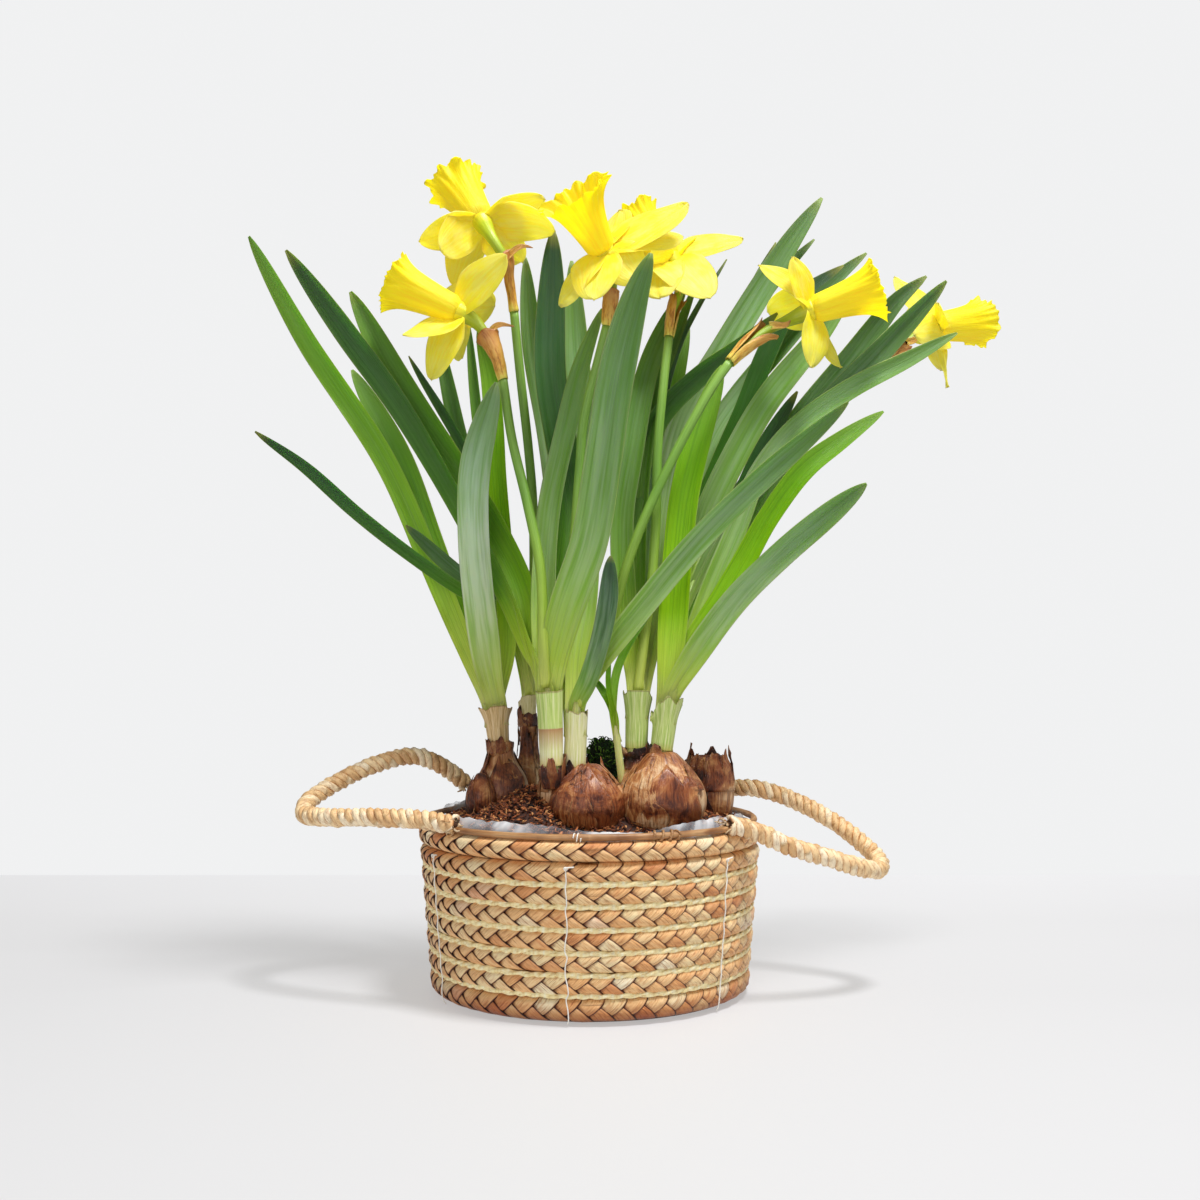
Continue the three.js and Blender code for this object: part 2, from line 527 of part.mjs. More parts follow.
// Cane hoop on top of the wall.
const hoopHeight = WALL_TOP + GAP + HOOP_CANE_RADIUS;
const hoop = (growth) => toSolid(
  new THREE.TorusGeometry(HOOP_RADIUS, HOOP_CANE_RADIUS + growth, 4, ROUND_SIDES).translate(0, 0, hoopHeight),
);
addPiece('rim_hoop', hoop(0), 0xa88e70, 0.6);

// Stitching threads down the outside, over every plait below the top one.
STITCH_ANGLES.forEach((degrees, index) => {
  const angle = THREE.MathUtils.degToRad(degrees);
  const at = (height) => {
    const radius = crestRadius(height) + STITCH_RADIUS + GAP + 0.15;
    return new THREE.Vector3(radius * Math.sin(angle), -radius * Math.cos(angle), height);
  };
  const thread = ropeSolid([at(STITCH_BOTTOM), at(STITCH_TOP)], STITCH_RADIUS, 6, 1);
  addPiece(`stitch_${index + 1}`, thread, 0xefe9da, 0.7);
});

// Rope handles: each end hugs the rim, so it is cut round the hoop and the top plait.
const vectors = (points) => points.map(([x, y, z]) => new THREE.Vector3(x, y, z));
const rimClearance = wallSolid(GAP).add(hoop(GAP));
const handleSolid = (points) => largestBody(
  ropeSolid(vectors(points), ROPE_RADIUS, ROPE_SIDES, ROPE_STEPS).subtract(rimClearance),
);
addPiece('handle_left', handleSolid(LEFT_HANDLE), 0xd9c298, 0.8);
addPiece('handle_right', handleSolid(RIGHT_HANDLE), 0xd9c298, 0.8);

// Clear film liner: a thin pouch inside the wall with a wavy, creased rim.
const filmRadius = (height) => crestRadius(height) - WALL_THICKNESS - GAP - 0.1;
const filmFloor = BASE_THICKNESS + GAP;
const filmProfile = [
  [0, filmFloor], [filmRadius(filmFloor), filmFloor], [filmRadius(104), 104],
  [filmRadius(LINER_RIM) - 1.5, LINER_RIM], [filmRadius(LINER_RIM) - 1.5 - LINER_THICKNESS, LINER_RIM],
  [filmRadius(104) - LINER_THICKNESS, 104], [filmRadius(filmFloor) - LINER_THICKNESS, filmFloor + LINER_THICKNESS],
  [0, filmFloor + LINER_THICKNESS],
];
const filmGeometry = new THREE.LatheGeometry(
  filmProfile.map(([radius, height]) => new THREE.Vector2(radius, height)), ROUND_SIDES,
).rotateX(Math.PI / 2);
const filmPoints = filmGeometry.getAttribute('position');
for (let i = 0; i < filmPoints.count; i += 1) {
  if (filmPoints.getZ(i) > LINER_RIM - 1) {
    const angle = Math.atan2(filmPoints.getY(i), filmPoints.getX(i));
    const wave = LINER_WAVE * (0.6 * Math.sin(5 * angle + 1) + 0.4 * Math.sin(9 * angle));
    filmPoints.setZ(i, filmPoints.getZ(i) + wave);
  }
}
const filmTriangles = filmGeometry.toNonIndexed();
const filmTry = toSolid(filmTriangles);
const filmSolid = filmTry.volume() < 0 ? toSolid(turnedRound(filmTriangles)) : filmTry;
const ropeClearance = [LEFT_HANDLE, RIGHT_HANDLE].map(
  (points) => ropeSolid(vectors(points), ROPE_RADIUS + GAP, ROPE_SIDES, ROPE_STEPS),
);
addPiece('liner', largestBody(ropeClearance.reduce((film, rope) => film.subtract(rope), filmSolid)), 0xdfe3e6, 0.25);

// Bulbs: onion-shaped lobes, with a plain hole for each shoot and its sheath.
function lobeSolid([x, z, y, radius, height, shape], growth) {
  const centre = seen([x, z, y]);
  const points = shape.map(([across, up]) => new THREE.Vector2(across * (radius + growth), up * (height + 2 * growth)));
  if (points[points.length - 1].x > 0) points.push(new THREE.Vector2(0, points[points.length - 1].y));
  const geometry = new THREE.LatheGeometry(points, BULB_SIDES)
    .rotateX(Math.PI / 2)
    .translate(centre.x, centre.y, centre.z - growth)
    .toNonIndexed();
  const solid = toSolid(geometry);
  return solid.volume() < 0 ? toSolid(turnedRound(geometry)) : solid;
}

function corePath(shoot) {
  return new THREE.LineCurve3(seen(shoot.foot), seen(shoot.top));
}

// The space that a shoot's core and sheath take up in a bulb.
function shootHoles() {
  const cores = SHOOTS.map((shoot) => {
    const line = corePath(shoot);
    const below = line.getPointAt(0).addScaledVector(line.getTangentAt(0), -GAP);
    const rings = [below, line.getPointAt(1)].map((centre) => ringAt(centre, line.getTangentAt(0), shoot.radius + GAP + 0.1, CORE_SIDES));
    return toSolid(loftGeometry(rings));
  });
  const sheaths = SHEATHS.map((sheath) => {
    const line = corePath(SHOOTS[sheath.shoot]);
    const length = line.getLength();
    const radius = Math.max(...sheath.radii) + GAP;
    const from = sheath.from - GAP / length;
    return toSolid(loftGeometry(ringsAlong(line, from, 1, [sheath.radii[0] + GAP, radius + 2], SHEATH_SIDES)));
  });
  return joined([...cores, ...sheaths]);
}
const holes = shootHoles();
const bulbSolids = BULBS.map((bulb) => joined(bulb.lobes.map((lobe) => lobeSolid(lobe, 0))));
const bulbShades = [0x7d5230, 0x6e4426, 0x8a5a2e, 0x84603c, 0x6b3f24];
BULBS.forEach((bulb, index) => {
  addPiece(bulb.name, largestBody(bulbSolids[index].subtract(holes)), bulbShades[index], 0.75);
});

// Moss tuft: a spiky clump between the two front bulbs, standing in the soil.
const MOSS_CENTRE = [8, 140, 20];
const MOSS_SIZE = [12, 12, 23];
function mossSolid(growth) {
  const ball = new THREE.IcosahedronGeometry(1, 1);
  const points = ball.getAttribute('position');
  const centre = seen(MOSS_CENTRE);
  for (let i = 0; i < points.count; i += 1) {
    const direction = new THREE.Vector3().fromBufferAttribute(points, i);
    const key = Math.round(direction.x * 50) + Math.round(direction.y * 50) * 3;
    const spike = 0.9 + 0.12 * roughness(key, Math.round(direction.z * 50));
    points.setXYZ(
      i,
      centre.x + direction.x * (MOSS_SIZE[0] * spike + growth),
      centre.y + direction.y * (MOSS_SIZE[1] * spike + growth),
      centre.z + direction.z * (MOSS_SIZE[2] * spike + growth),
    );
  }
  return toSolid(ball);
}
addPiece('moss_tuft', mossSolid(0), 0x2f4426, 0.95);

// Soil: a crumbly mound inside the film, with a socket for each bulb and for the moss.
const soilRadius = (height) => filmRadius(height) - LINER_THICKNESS - GAP;
const soilFloor = filmFloor + LINER_THICKNESS + GAP;
const moundHeight = (radius) => SOIL_EDGE + SOIL_MOUND * (1 - (radius / 94) ** 2);
const soilProfile = [[0, soilFloor], [soilRadius(soilFloor), soilFloor], [soilRadius(104), 104]];
soilProfile.push([soilRadius(109) - 1, 109.5]);
for (const radius of [84, 56, 26]) soilProfile.push([radius, moundHeight(radius)]);
soilProfile.push([0, moundHeight(0)]);
const soilGeometry = new THREE.LatheGeometry(
  soilProfile.map(([radius, height]) => new THREE.Vector2(radius, height)), ROUND_SIDES,
).rotateX(Math.PI / 2);
const soilPoints = soilGeometry.getAttribute('position');
for (let i = 0; i < soilPoints.count; i += 1) {
  const [x, y, z] = [soilPoints.getX(i), soilPoints.getY(i), soilPoints.getZ(i)];
  const onMound = z > SOIL_EDGE + 0.5 && Math.hypot(x, y) > 5;
  if (onMound) soilPoints.setZ(i, z + SOIL_LUMP * roughness(Math.round(x), Math.round(y)));
}
const soilTriangles = soilGeometry.toNonIndexed();
const soilTry = toSolid(soilTriangles);
let soilSolid = soilTry.volume() < 0 ? toSolid(turnedRound(soilTriangles)) : soilTry;
for (const bulb of BULBS) {
  for (const lobe of bulb.lobes) soilSolid = soilSolid.subtract(lobeSolid(lobe, GAP));
}
soilSolid = soilSolid.subtract(mossSolid(GAP));
addPiece('soil', largestBody(soilSolid), 0x3b2519, 0.95);

// The leaf's width along its length: narrow where it leaves the sheath, then even, then a blunt tip.
function leafOutline(u) {
  const base = 0.6 + 0.4 * THREE.MathUtils.smoothstep(u, 0, 0.3);
  const t = Math.max(0, (u - 0.74) / 0.26);
  return base * Math.max(0.14, (1 - t * t) ** 0.6);
}

// A strap leaf: a shallow channel, thickest along its rib.
function leafSolid({ width, turn, route }) {
  const path = smoothPath(route.map(seen));
  const front = [];
  const back = [];
  for (const u of LEAF_STATIONS) {
    const centre = path.getPointAt(u);
    const { flat, face } = crossDirections(path.getTangentAt(u));
    const roll = THREE.MathUtils.degToRad(THREE.MathUtils.lerp(turn[0], turn[1], u));
    const across = flat.clone().multiplyScalar(Math.cos(roll)).addScaledVector(face, Math.sin(roll));
    const outward = face.clone().multiplyScalar(Math.cos(roll)).addScaledVector(flat, -Math.sin(roll));
    const half = 0.5 * width * leafOutline(u);
    const fold = LEAF_FOLD * half;
    const thin = u === 1 ? 0.5 : 1;
    const at = (side, depth) => centre.clone().addScaledVector(across, side * half).addScaledVector(outward, depth);
    const sides = width < NARROW_LEAF ? [-1, 1] : [-1, 0, 1];
    front.push(sides.map((side) => at(side, side ? fold + LEAF_EDGE / 2 : -fold + (LEAF_RIB * thin) / 2)));
    back.push(sides.map((side) => at(side, side ? fold - LEAF_EDGE / 2 : -fold - (LEAF_RIB * thin) / 2)));
  }
  return toSolid(plateGeometry(front, back));
}

// Shoots: the core, the leaves and any flower stalk grown as one.
SHOOTS.forEach((shoot) => {
  const core = toSolid(loftGeometry(ringsAlong(corePath(shoot), 0, 1, [shoot.radius, shoot.radius], CORE_SIDES)));
  const leaves = shoot.leaves.map(leafSolid);
  const stalks = shoot.stalks.map((route) => ropeSolid(route.map(seen), STALK_RADIUS, STALK_SIDES, STALK_STEPS));
  addPiece(shoot.name, largestBody(joined([core, ...leaves, ...stalks])), 0x5c8b3e, 0.5);
});

// Sheaths: papery or fleshy sleeves round the foot of each shoot.
const sheathShades = [0xb08a5c, 0xd6c8a0, 0xb9cc9a, 0xd9dcae, 0xc4cf8e, 0xc9d295];
SHEATHS.forEach((sheath, index) => {
  const shoot = SHOOTS[sheath.shoot];
  const line = corePath(shoot);
  const stations = [sheath.radii[0], sheath.radii[1], sheath.radii[2]];
  const outer = ringsAlong(line, sheath.from, sheath.to, stations, SHEATH_SIDES);
  const inside = stations.map((radius) => Math.max(radius - SHEATH_WALL, shoot.radius + GAP));
  const inner = ringsAlong(line, sheath.from, sheath.to, inside, SHEATH_SIDES);
  const down = line.getTangentAt(0).negate();
  for (let side = 0; side < SHEATH_SIDES; side += 1) {
    const dip = sheath.torn * (0.5 + 0.5 * roughness(side, index + 3));
    outer[2][side].addScaledVector(down, dip);
    inner[2][side].addScaledVector(down, dip);
  }
  addPiece(`sheath_${sheath.shoot + 1}`, toSolid(sleeveGeometry(outer, inner)), sheathShades[index], 0.6);
});

// A petal: a pointed oval from the flower's centre to its tip, cupped a little.
function petalSolid(centre, axis, seat, [dx, dy, dz, width, facing]) {
  const reach = new THREE.Vector3(dx, dy, dz);
  const along = reach.clone().normalize();
  const face = facing ? new THREE.Vector3(...facing) : axis.clone();
  face.addScaledVector(along, -face.dot(along)).normalize();
  const across = new THREE.Vector3().crossVectors(along, face);
  const outward = reach.clone().addScaledVector(axis, -reach.dot(axis)).normalize();
  const bend = centre.clone().addScaledVector(outward, PETAL_BEND);
  const spine = new THREE.QuadraticBezierCurve3(centre, bend, centre.clone().add(reach));
  const front = [];
  const back = [];
  PETAL_STATIONS.forEach((u, index) => {
    const half = 0.5 * width * PETAL_OUTLINE[index];
    const middle = spine.getPoint(u).addScaledVector(axis, seat);
    const cup = PETAL_CUP * half * u;
    const at = (side, depth) => middle.clone().addScaledVector(across, side * half).addScaledVector(face, depth);
    front.push([-1, 0, 1].map((side) => at(side, side ? cup + PETAL_EDGE / 2 : PETAL_RIB / 2)));
    back.push([-1, 0, 1].map((side) => at(side, side ? cup - PETAL_EDGE / 2 : -PETAL_RIB / 2)));
  });
  return toSolid(plateGeometry(front, back));
}

// Points round a flower's axis, at a height above its centre and a radius from the axis.
function flowerFrame(centre, axis) {
  const aside = new THREE.Vector3().crossVectors(LOOKING, axis).normalize();
  const above = new THREE.Vector3().crossVectors(axis, aside).normalize();
  return (height, radius, angle) => centre.clone()
    .addScaledVector(axis, height)
    .addScaledVector(aside, radius * Math.cos(angle))
    .addScaledVector(above, radius * Math.sin(angle));
}

const coronaRadius = (u, foot, mouth) => foot + (mouth - foot) * (0.45 * u + 0.55 * u ** 3);

function coronaRings(frame, { length, foot, mouth }, growth, fluted) {
  return CORONA_STATIONS.map((u) => Array.from({ length: CORONA_COLUMNS }, (_, column) => {
    const flute = fluted ? Math.cos(Math.PI * column) : 0;
    const radius = coronaRadius(u, foot, mouth) * (1 + 0.045 * u * flute) + growth;
    const height = CORONA_SEAT + length * u + (u === 1 ? 1.1 * flute : 0);
    return frame(height, radius, (column / CORONA_COLUMNS) * Math.PI * 2);
  }));
}

// Flowers: petals, tube, ovary and pedicel in one piece, the trumpet, and the papery spathe.
FLOWERS.forEach((flower, index) => {
  const axis = new THREE.Vector3(...flower.axis).normalize();
  const centre = seen(flower.pedicel[flower.pedicel.length - 1]);
  const frame = flowerFrame(centre, axis);
  const path = smoothPath(flower.pedicel.map(seen));
  const start = (2 * GAP) / path.getLength();
  const tube = ringsAlong(path, start, 0.86, [1.7, 1.7, 2.2, 3.3, 3.6], TUBE_SIDES);
  tube.push(ringAt(frame(INNER_PETAL_SEAT + 0.1, 0, 0), axis, TUBE_MOUTH, TUBE_SIDES));
  const petals = flower.petals.map((petal, place) => (
    petalSolid(centre, axis, place % 2 ? OUTER_PETAL_SEAT : INNER_PETAL_SEAT, petal)));
  const { length, foot, mouth } = flower.corona;
  const room = [[CORONA_SEAT - GAP, foot + 1.6], [length * 0.6, mouth * 0.86 + 2], [length + 3, mouth * 1.15 + 3]];
  const roomRings = room.map(([height, radius]) => Array.from({ length: 8 }, (_, side) => (
    frame(height, radius, (side / 8) * Math.PI * 2))));
  const bloom = joined([toSolid(loftGeometry(tube)), ...petals]);
  const cleared = bloom.subtract(toSolid(loftGeometry(roomRings)));
  const styleLine = new THREE.LineCurve3(frame(-4, 0, 0), frame(length * 0.72, 0, 0));
  const style = toSolid(loftGeometry(ringsAlong(styleLine, 0, 1, [STYLE_RADIUS, STYLE_RADIUS], 4)));
  addPiece(`perianth_${index + 1}`, largestBody(cleared.add(style)), 0xf3e04a, 0.45);

  const outer = coronaRings(frame, flower.corona, CORONA_THICKNESS / 2, true);
  const inner = coronaRings(frame, flower.corona, -CORONA_THICKNESS / 2, true);
  addPiece(`corona_${index + 1}`, toSolid(sleeveGeometry(outer, inner)), 0xf2c80e, 0.45);

  const { to, radii } = flower.spathe;
  const husk = ringsAlong(path, start, to, radii, TUBE_SIDES);
  const hollow = ringsAlong(path, start, to, radii.map((radius) => radius - 0.7), TUBE_SIDES);
  addPiece(`spathe_${index + 1}`, toSolid(sleeveGeometry(husk, hollow)), 0xb5793a, 0.7);
});

export default potted;
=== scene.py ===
# Potted daffodils in a plaited basket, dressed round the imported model.
# Millimetre sizes are turned into metres by MM. +Z is up and -Y is the front.
import random
from functools import cache
from math import asin, copysign, cos, degrees, exp, floor, pi, radians, sin, sqrt, tanh, tau

import bmesh
import bpy
from mathutils import Matrix, Vector, noise


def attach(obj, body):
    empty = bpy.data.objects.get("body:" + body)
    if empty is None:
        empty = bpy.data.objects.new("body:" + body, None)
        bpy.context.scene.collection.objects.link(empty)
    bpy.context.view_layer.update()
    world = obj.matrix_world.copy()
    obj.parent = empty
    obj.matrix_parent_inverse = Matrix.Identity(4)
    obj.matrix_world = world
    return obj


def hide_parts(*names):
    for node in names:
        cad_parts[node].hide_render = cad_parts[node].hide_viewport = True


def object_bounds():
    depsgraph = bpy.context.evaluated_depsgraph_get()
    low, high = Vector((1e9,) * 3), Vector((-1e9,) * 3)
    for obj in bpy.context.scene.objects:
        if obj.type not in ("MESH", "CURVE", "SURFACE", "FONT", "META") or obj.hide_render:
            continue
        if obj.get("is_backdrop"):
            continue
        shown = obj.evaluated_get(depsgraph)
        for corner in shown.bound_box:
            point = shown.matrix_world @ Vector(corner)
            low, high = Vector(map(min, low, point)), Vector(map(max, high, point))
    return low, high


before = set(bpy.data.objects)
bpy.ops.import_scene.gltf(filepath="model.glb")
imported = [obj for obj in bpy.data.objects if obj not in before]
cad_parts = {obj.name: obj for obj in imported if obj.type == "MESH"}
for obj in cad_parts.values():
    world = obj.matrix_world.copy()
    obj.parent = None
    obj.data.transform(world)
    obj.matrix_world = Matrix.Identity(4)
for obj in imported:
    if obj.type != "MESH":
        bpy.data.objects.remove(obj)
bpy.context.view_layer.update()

# Table, studio light and camera
# A pale table top under a white studio. A large soft lamp hangs almost overhead, a little to the
# right and in front, and the white room fills the shadows. The table top glows faintly, as painted
# light that lifts its shadows, and is painted lighter towards the back. The eye stands level with mid plant.
MM = 0.001
EYE_DISTANCE = 970
EYE_HEIGHT = 221
EYE_SIDE = 6.5
EYE_LENS = 44.7
EYE_SHIFT = 0.04
TABLE_BACK = 0.48
TABLE_REACH = 3.0
LAMP_WAY = Vector((0.25, -0.24, 1.0))
LAMP_DISTANCE = 1.7
LAMP_LIFT = Vector((0, 0, 0.1))
LAMP_WIDTH = 0.42
LAMP_POWER = 31.0
FILL_PLACE = Vector((-0.5, -1.9, 0.75))
FILL_AIM = Vector((0, 0, 0.2))
FILL_WIDTH = 1.0
FILL_POWER = 8.0
ROOM_LIGHT = 0.26
ROOM_SEEN = 0.885


def shade(*screen):
    """A colour given as it looks on a screen, from 0 to 255, as linear light."""
    parts = [value / 255 for value in screen]
    return *(part / 12.92 if part <= 0.04045 else ((part + 0.055) / 1.055) ** 2.4 for part in parts), 1.0


def feed(tree, made, inputs):
    """Values or links for a node's inputs."""
    for socket, value in inputs.items():
        if isinstance(value, bpy.types.NodeSocket):
            tree.links.new(value, made.inputs[socket])
        else:
            made.inputs[socket].default_value = value


def node(tree, kind, inputs={}, **settings):
    """A shader node with its settings and inputs."""
    made = tree.nodes.new("ShaderNode" + kind)
    for key, value in settings.items():
        setattr(made, key, value)
    feed(tree, made, inputs)
    return made


def dress(tree, **sockets):
    """Values or links for the sockets of a material's shader, by name."""
    inputs = {key.replace("_", " "): value for key, value in sockets.items()}
    feed(tree, tree.nodes["Principled BSDF"], inputs)


def finish(name, **constants):
    """A new material and its node tree, the shader's plain sockets set by name."""
    material = bpy.data.materials.new(name)
    material.use_nodes = True
    dress(material.node_tree, **constants)
    return material, material.node_tree


def ramp(tree, factor, *stops):
    """Colours that follow a value. A stop is a place and a screen colour, or a share of white."""
    made = node(tree, "ValToRGB", {"Fac": factor})
    line = made.color_ramp.elements
    while len(line) < len(stops):
        line.new(0.5)
    for element, (place, *colour) in zip(line, stops):
        element.position = place
        element.color = shade(*colour) if len(colour) > 1 else (*colour * 3, 1)
    return made.outputs["Color"]


def sum_up(tree, operation, first, second=0.0):
    """One step of arithmetic on two values."""
    return node(tree, "Math", {0: first, 1: second}, operation=operation).outputs[0]


def blend(tree, factor, first, second, way="MIX"):
    """Two colours mixed by a value."""
    inputs = {0: factor, 6: first, 7: second}
    return node(tree, "Mix", inputs, data_type="RGBA", blend_type=way).outputs[2]


def stain(tree, factor, first, second):
    """A colour darkened by another."""
    return blend(tree, factor, first, second, "MULTIPLY")


def paint(tree, colour, height, depth):
    """The colour of a finish and its fine relief, whose depth is in metres."""
    bump = node(tree, "Bump", {"Height": height, "Distance": depth})
    dress(tree, Base_Color=colour, Normal=bump.outputs["Normal"])


def place_of(tree, axis, kind="UV"):
    """One coordinate of a point: of the UV map, 0 goes across a strip and 1 along it."""
    return node(tree, "SeparateXYZ", {0: node(tree, "TexCoord").outputs[kind]}).outputs[axis]


def speckle(tree, **inputs):
    """Noise over a piece, with its scale and detail by name."""
    where = node(tree, "TexCoord").outputs["Object"]
    return node(tree, "TexNoise", {"Vector": where, **inputs}).outputs["Fac"]


scene = bpy.context.scene
scene.view_settings.view_transform = "Standard"


def add_object(name, data):
    """A new object in the scene."""
    made = bpy.data.objects.new(name, data)
    scene.collection.objects.link(made)
    return made


def add_mesh(name, bm, material):
    """A new mesh object of one finish, made of a bmesh that isn't needed further."""
    mesh = bpy.data.meshes.new(name)
    bm.to_mesh(mesh)
    bm.free()
    mesh.materials.append(material)
    return add_object(name, mesh)


# Painted light: the table top glows faintly to lift its shadows, and its colour is painted lighter towards
# the back.
table, tree = finish("table_top", Roughness=0.6, Emission_Strength=0.42, Emission_Color=(1, 0.99, 0.98, 1))
speck = speckle(tree, Scale=9.0, Detail=5.0)
far = sum_up(tree, "ADD", place_of(tree, 1, "Object"), sum_up(tree, "MULTIPLY", speck, 0.02))
paint(tree, ramp(tree, far, (0, 157, 157, 159), (0.25, 166, 166, 168), (0.49, 184, 184, 187)), speck, 0.0002)
bm = bmesh.new()
bmesh.ops.create_grid(bm, x_segments=1, y_segments=1, size=TABLE_REACH)
bmesh.ops.translate(bm, verts=bm.verts, vec=(0, TABLE_BACK - TABLE_REACH, 0))
add_mesh("table_top", bm, table)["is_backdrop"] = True


def soft_lamp(name, width, power, place, way):
    """A round lamp that shines along a direction."""
    data = bpy.data.lights.new(name, "AREA")
    data.shape = "DISK"
    data.size = width
    data.energy = power
    lamp = add_object(name, data)
    lamp.location = place
    lamp.rotation_euler = way.to_track_quat("-Z", "Y").to_euler()


soft_lamp("lamp", LAMP_WIDTH, LAMP_POWER, LAMP_WAY.normalized() * LAMP_DISTANCE + LAMP_LIFT, -LAMP_WAY)
soft_lamp("fill", FILL_WIDTH, FILL_POWER, FILL_PLACE, FILL_AIM - FILL_PLACE)

room = bpy.data.worlds.new("room")
room.use_nodes = True
scene.world = room
tree = room.node_tree
to_eye = node(tree, "LightPath").outputs["Is Camera Ray"]
strength = node(tree, "Mix", {"Factor": to_eye, "A": ROOM_LIGHT, "B": ROOM_SEEN}).outputs["Result"]
feed(tree, tree.nodes["Background"], {"Strength": strength, "Color": (0.99, 0.995, 1.0, 1.0)})

camera_data = bpy.data.cameras.new("eye")
camera_data.lens = EYE_LENS
camera_data.shift_y = EYE_SHIFT
camera = add_object("eye", camera_data)
camera.location = Vector((EYE_SIDE, -EYE_DISTANCE, EYE_HEIGHT)) * MM
camera.rotation_euler = (radians(90), 0, 0)
scene.camera = camera

# Plaited wall
# Eight flat plaits of dried water plant, each of three puffed strands, lie edge to edge in rings
# and are stitched together through their edges. Each strand dives under the next two in turn.
ROW_HEIGHTS = [9.2, 24, 36.5, 50, 63.6, 77, 90, 102.2]
ROW_FOOT = 8.4
ROW_TOP = 6.3
ROW_GAP = 0.55
WALL_FOOT_RADIUS = 103
WALL_FLARE = 0.078
WALL_THICKNESS = 8.5
STRANDS = 3
STRAND_TURNS = 16
STRAND_SIDES = 12
STRAND_STEPS = 336
STRAND_REACH = 8.0
STRAND_THICKNESS = 1.7
STRAND_DEPTH = 1.5
STRAND_LEAN = 0.4
STRAND_SINK = 3.6
STRAND_SLANT = 0.038
FOLD_SHARE = 0.11
FOLD_SHARPNESS = 0.985
NEAR = 0.02
ROW_SHIFT = 0.37
ROW_BULGE = 4.2
FOOT_TUCK = 4.5
LOWEST = 0.15
WELD = 1e-7


def crest_radius(height):
    return WALL_FOOT_RADIUS + WALL_FLARE * height


def from_front(radius, angle, height):
    """A point at an angle from the basket's front, seen from above."""
    return radius * sin(angle), -radius * cos(angle), height


def rough(*place):
    """Smooth noise at a place, from -1 to 1."""
    return noise.noise(Vector(place))


def rough_ring(angle, scale, seed):
    """Smooth noise that closes on itself round the basket."""
    return rough(cos(angle) * scale, sin(angle) * scale, seed)


def skin(bm, around, along, place, ring=False, **marks):
    """A grid rolled up into a closed skin: place(u, v) gives a point in millimetres for the way
    round and the way along, both 0 to 1. A ring also closes on itself along its length, where its
    ends meet; the ring argument is not used. Each mark is a value kept on the points, such as a
    tone, as a number or as it follows u and v."""
    uv = bm.loops.layers.uv.verify()
    kept_on = bm.verts.layers.float
    layers = [(kept_on.get(name) or kept_on.new(name), mark) for name, mark in {"tone": 0.5, **marks}.items()]
    verts = bmesh.ops.create_grid(bm, x_segments=around, y_segments=along, size=0.5)["verts"]
    ways = {vert: (vert.co.x + 0.5, vert.co.y + 0.5) for vert in verts}
    for face in {face for vert in verts for face in vert.link_faces}:
        face.smooth = True
        for loop in face.loops:
            u, v = ways[loop.vert]
            loop[uv].uv = (0.5 + 0.5 * cos(tau * u), v)
    rim = []
    for vert, (u, v) in ways.items():
        for layer, mark in layers:
            vert[layer] = mark(u, v) if callable(mark) else mark
        vert.co = Vector(place(u, v)) * MM
        if min(u, 1 - u) < WELD or min(v, 1 - v) < WELD:
            rim.append(vert)
    bmesh.ops.remove_doubles(bm, verts=rim, dist=WELD)


def puffed(turn, flat=0.5):
    """The height of a flat strip's section on the way round it: full, with rounded edges."""
    rise = sin(turn)
    return copysign(abs(rise) ** flat, rise)


def make_piece(name, bm, material, slot, *nodes):
    """Closes the open ends, turns the faces out and adds the piece to the object."""
    bmesh.ops.holes_fill(bm, edges=[edge for edge in bm.edges if edge.is_boundary], sides=0)
    bmesh.ops.recalc_face_normals(bm, faces=bm.faces)
    piece = add_mesh(name, bm, material)
    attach(piece, "root")
    if nodes:
        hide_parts(*nodes)


# Streaks that run along a piece, and blotches wider than a streak, from its UV map
fibres = bpy.data.node_groups.new("fibres", "ShaderNodeTree")
for name in ("Vector", "Across", "Along", "Seed"):
    kind = "NodeSocketVector" if name == "Vector" else "NodeSocketFloat"
    fibres.interface.new_socket(name, in_out="INPUT", socket_type=kind)
for name in ("Streak", "Blotch"):
    fibres.interface.new_socket(name, in_out="OUTPUT", socket_type="NodeSocketFloat")
given = fibres.nodes.new("NodeGroupInput").outputs
parts = node(fibres, "SeparateXYZ", {0: given["Vector"]}).outputs
spot = {0: sum_up(fibres, "MULTIPLY", parts[0], given["Across"]),
        1: sum_up(fibres, "MULTIPLY", parts[1], given["Along"]), 2: given["Seed"]}
fine = node(fibres, "CombineXYZ", spot).outputs[0]
wide = node(fibres, "VectorMath", {0: fine, 1: (0.25, 1.6, 1.0)}, operation="MULTIPLY").outputs[0]
streak = node(fibres, "TexNoise", {"Vector": fine, "Scale": 1.0, "Detail": 4.0, "Roughness": 0.65})
blotch = node(fibres, "TexNoise", {"Vector": wide, "Scale": 1.0, "Detail": 2.0})
result = fibres.nodes.new("NodeGroupOutput")
feed(fibres, result, {"Streak": streak.outputs["Fac"], "Blotch": blotch.outputs["Fac"]})


def mark_of(tree, name):
    """The value of a mark on the piece's points."""
    return node(tree, "Attribute", attribute_name=name).outputs["Fac"]


def fibre_nodes(tree, across, along):
    """The fibre group placed in a material: its streak, its blotch and the piece's tone."""
    tone = mark_of(tree, "tone")
    made = node(tree, "Group", node_tree=fibres)
    uv = node(tree, "TexCoord").outputs["UV"]
    seed = sum_up(tree, "MULTIPLY", tone, 37.0)
    feed(tree, made, {"Vector": uv, "Across": across, "Along": along, "Seed": seed})
    return made.outputs["Streak"], made.outputs["Blotch"], tone


def edge_share(tree):
    """How far a point lies from a strip's middle line: 0 on it and 0.5 on the strip's edges."""
    return sum_up(tree, "ABSOLUTE", sum_up(tree, "SUBTRACT", place_of(tree, 0), 0.5))


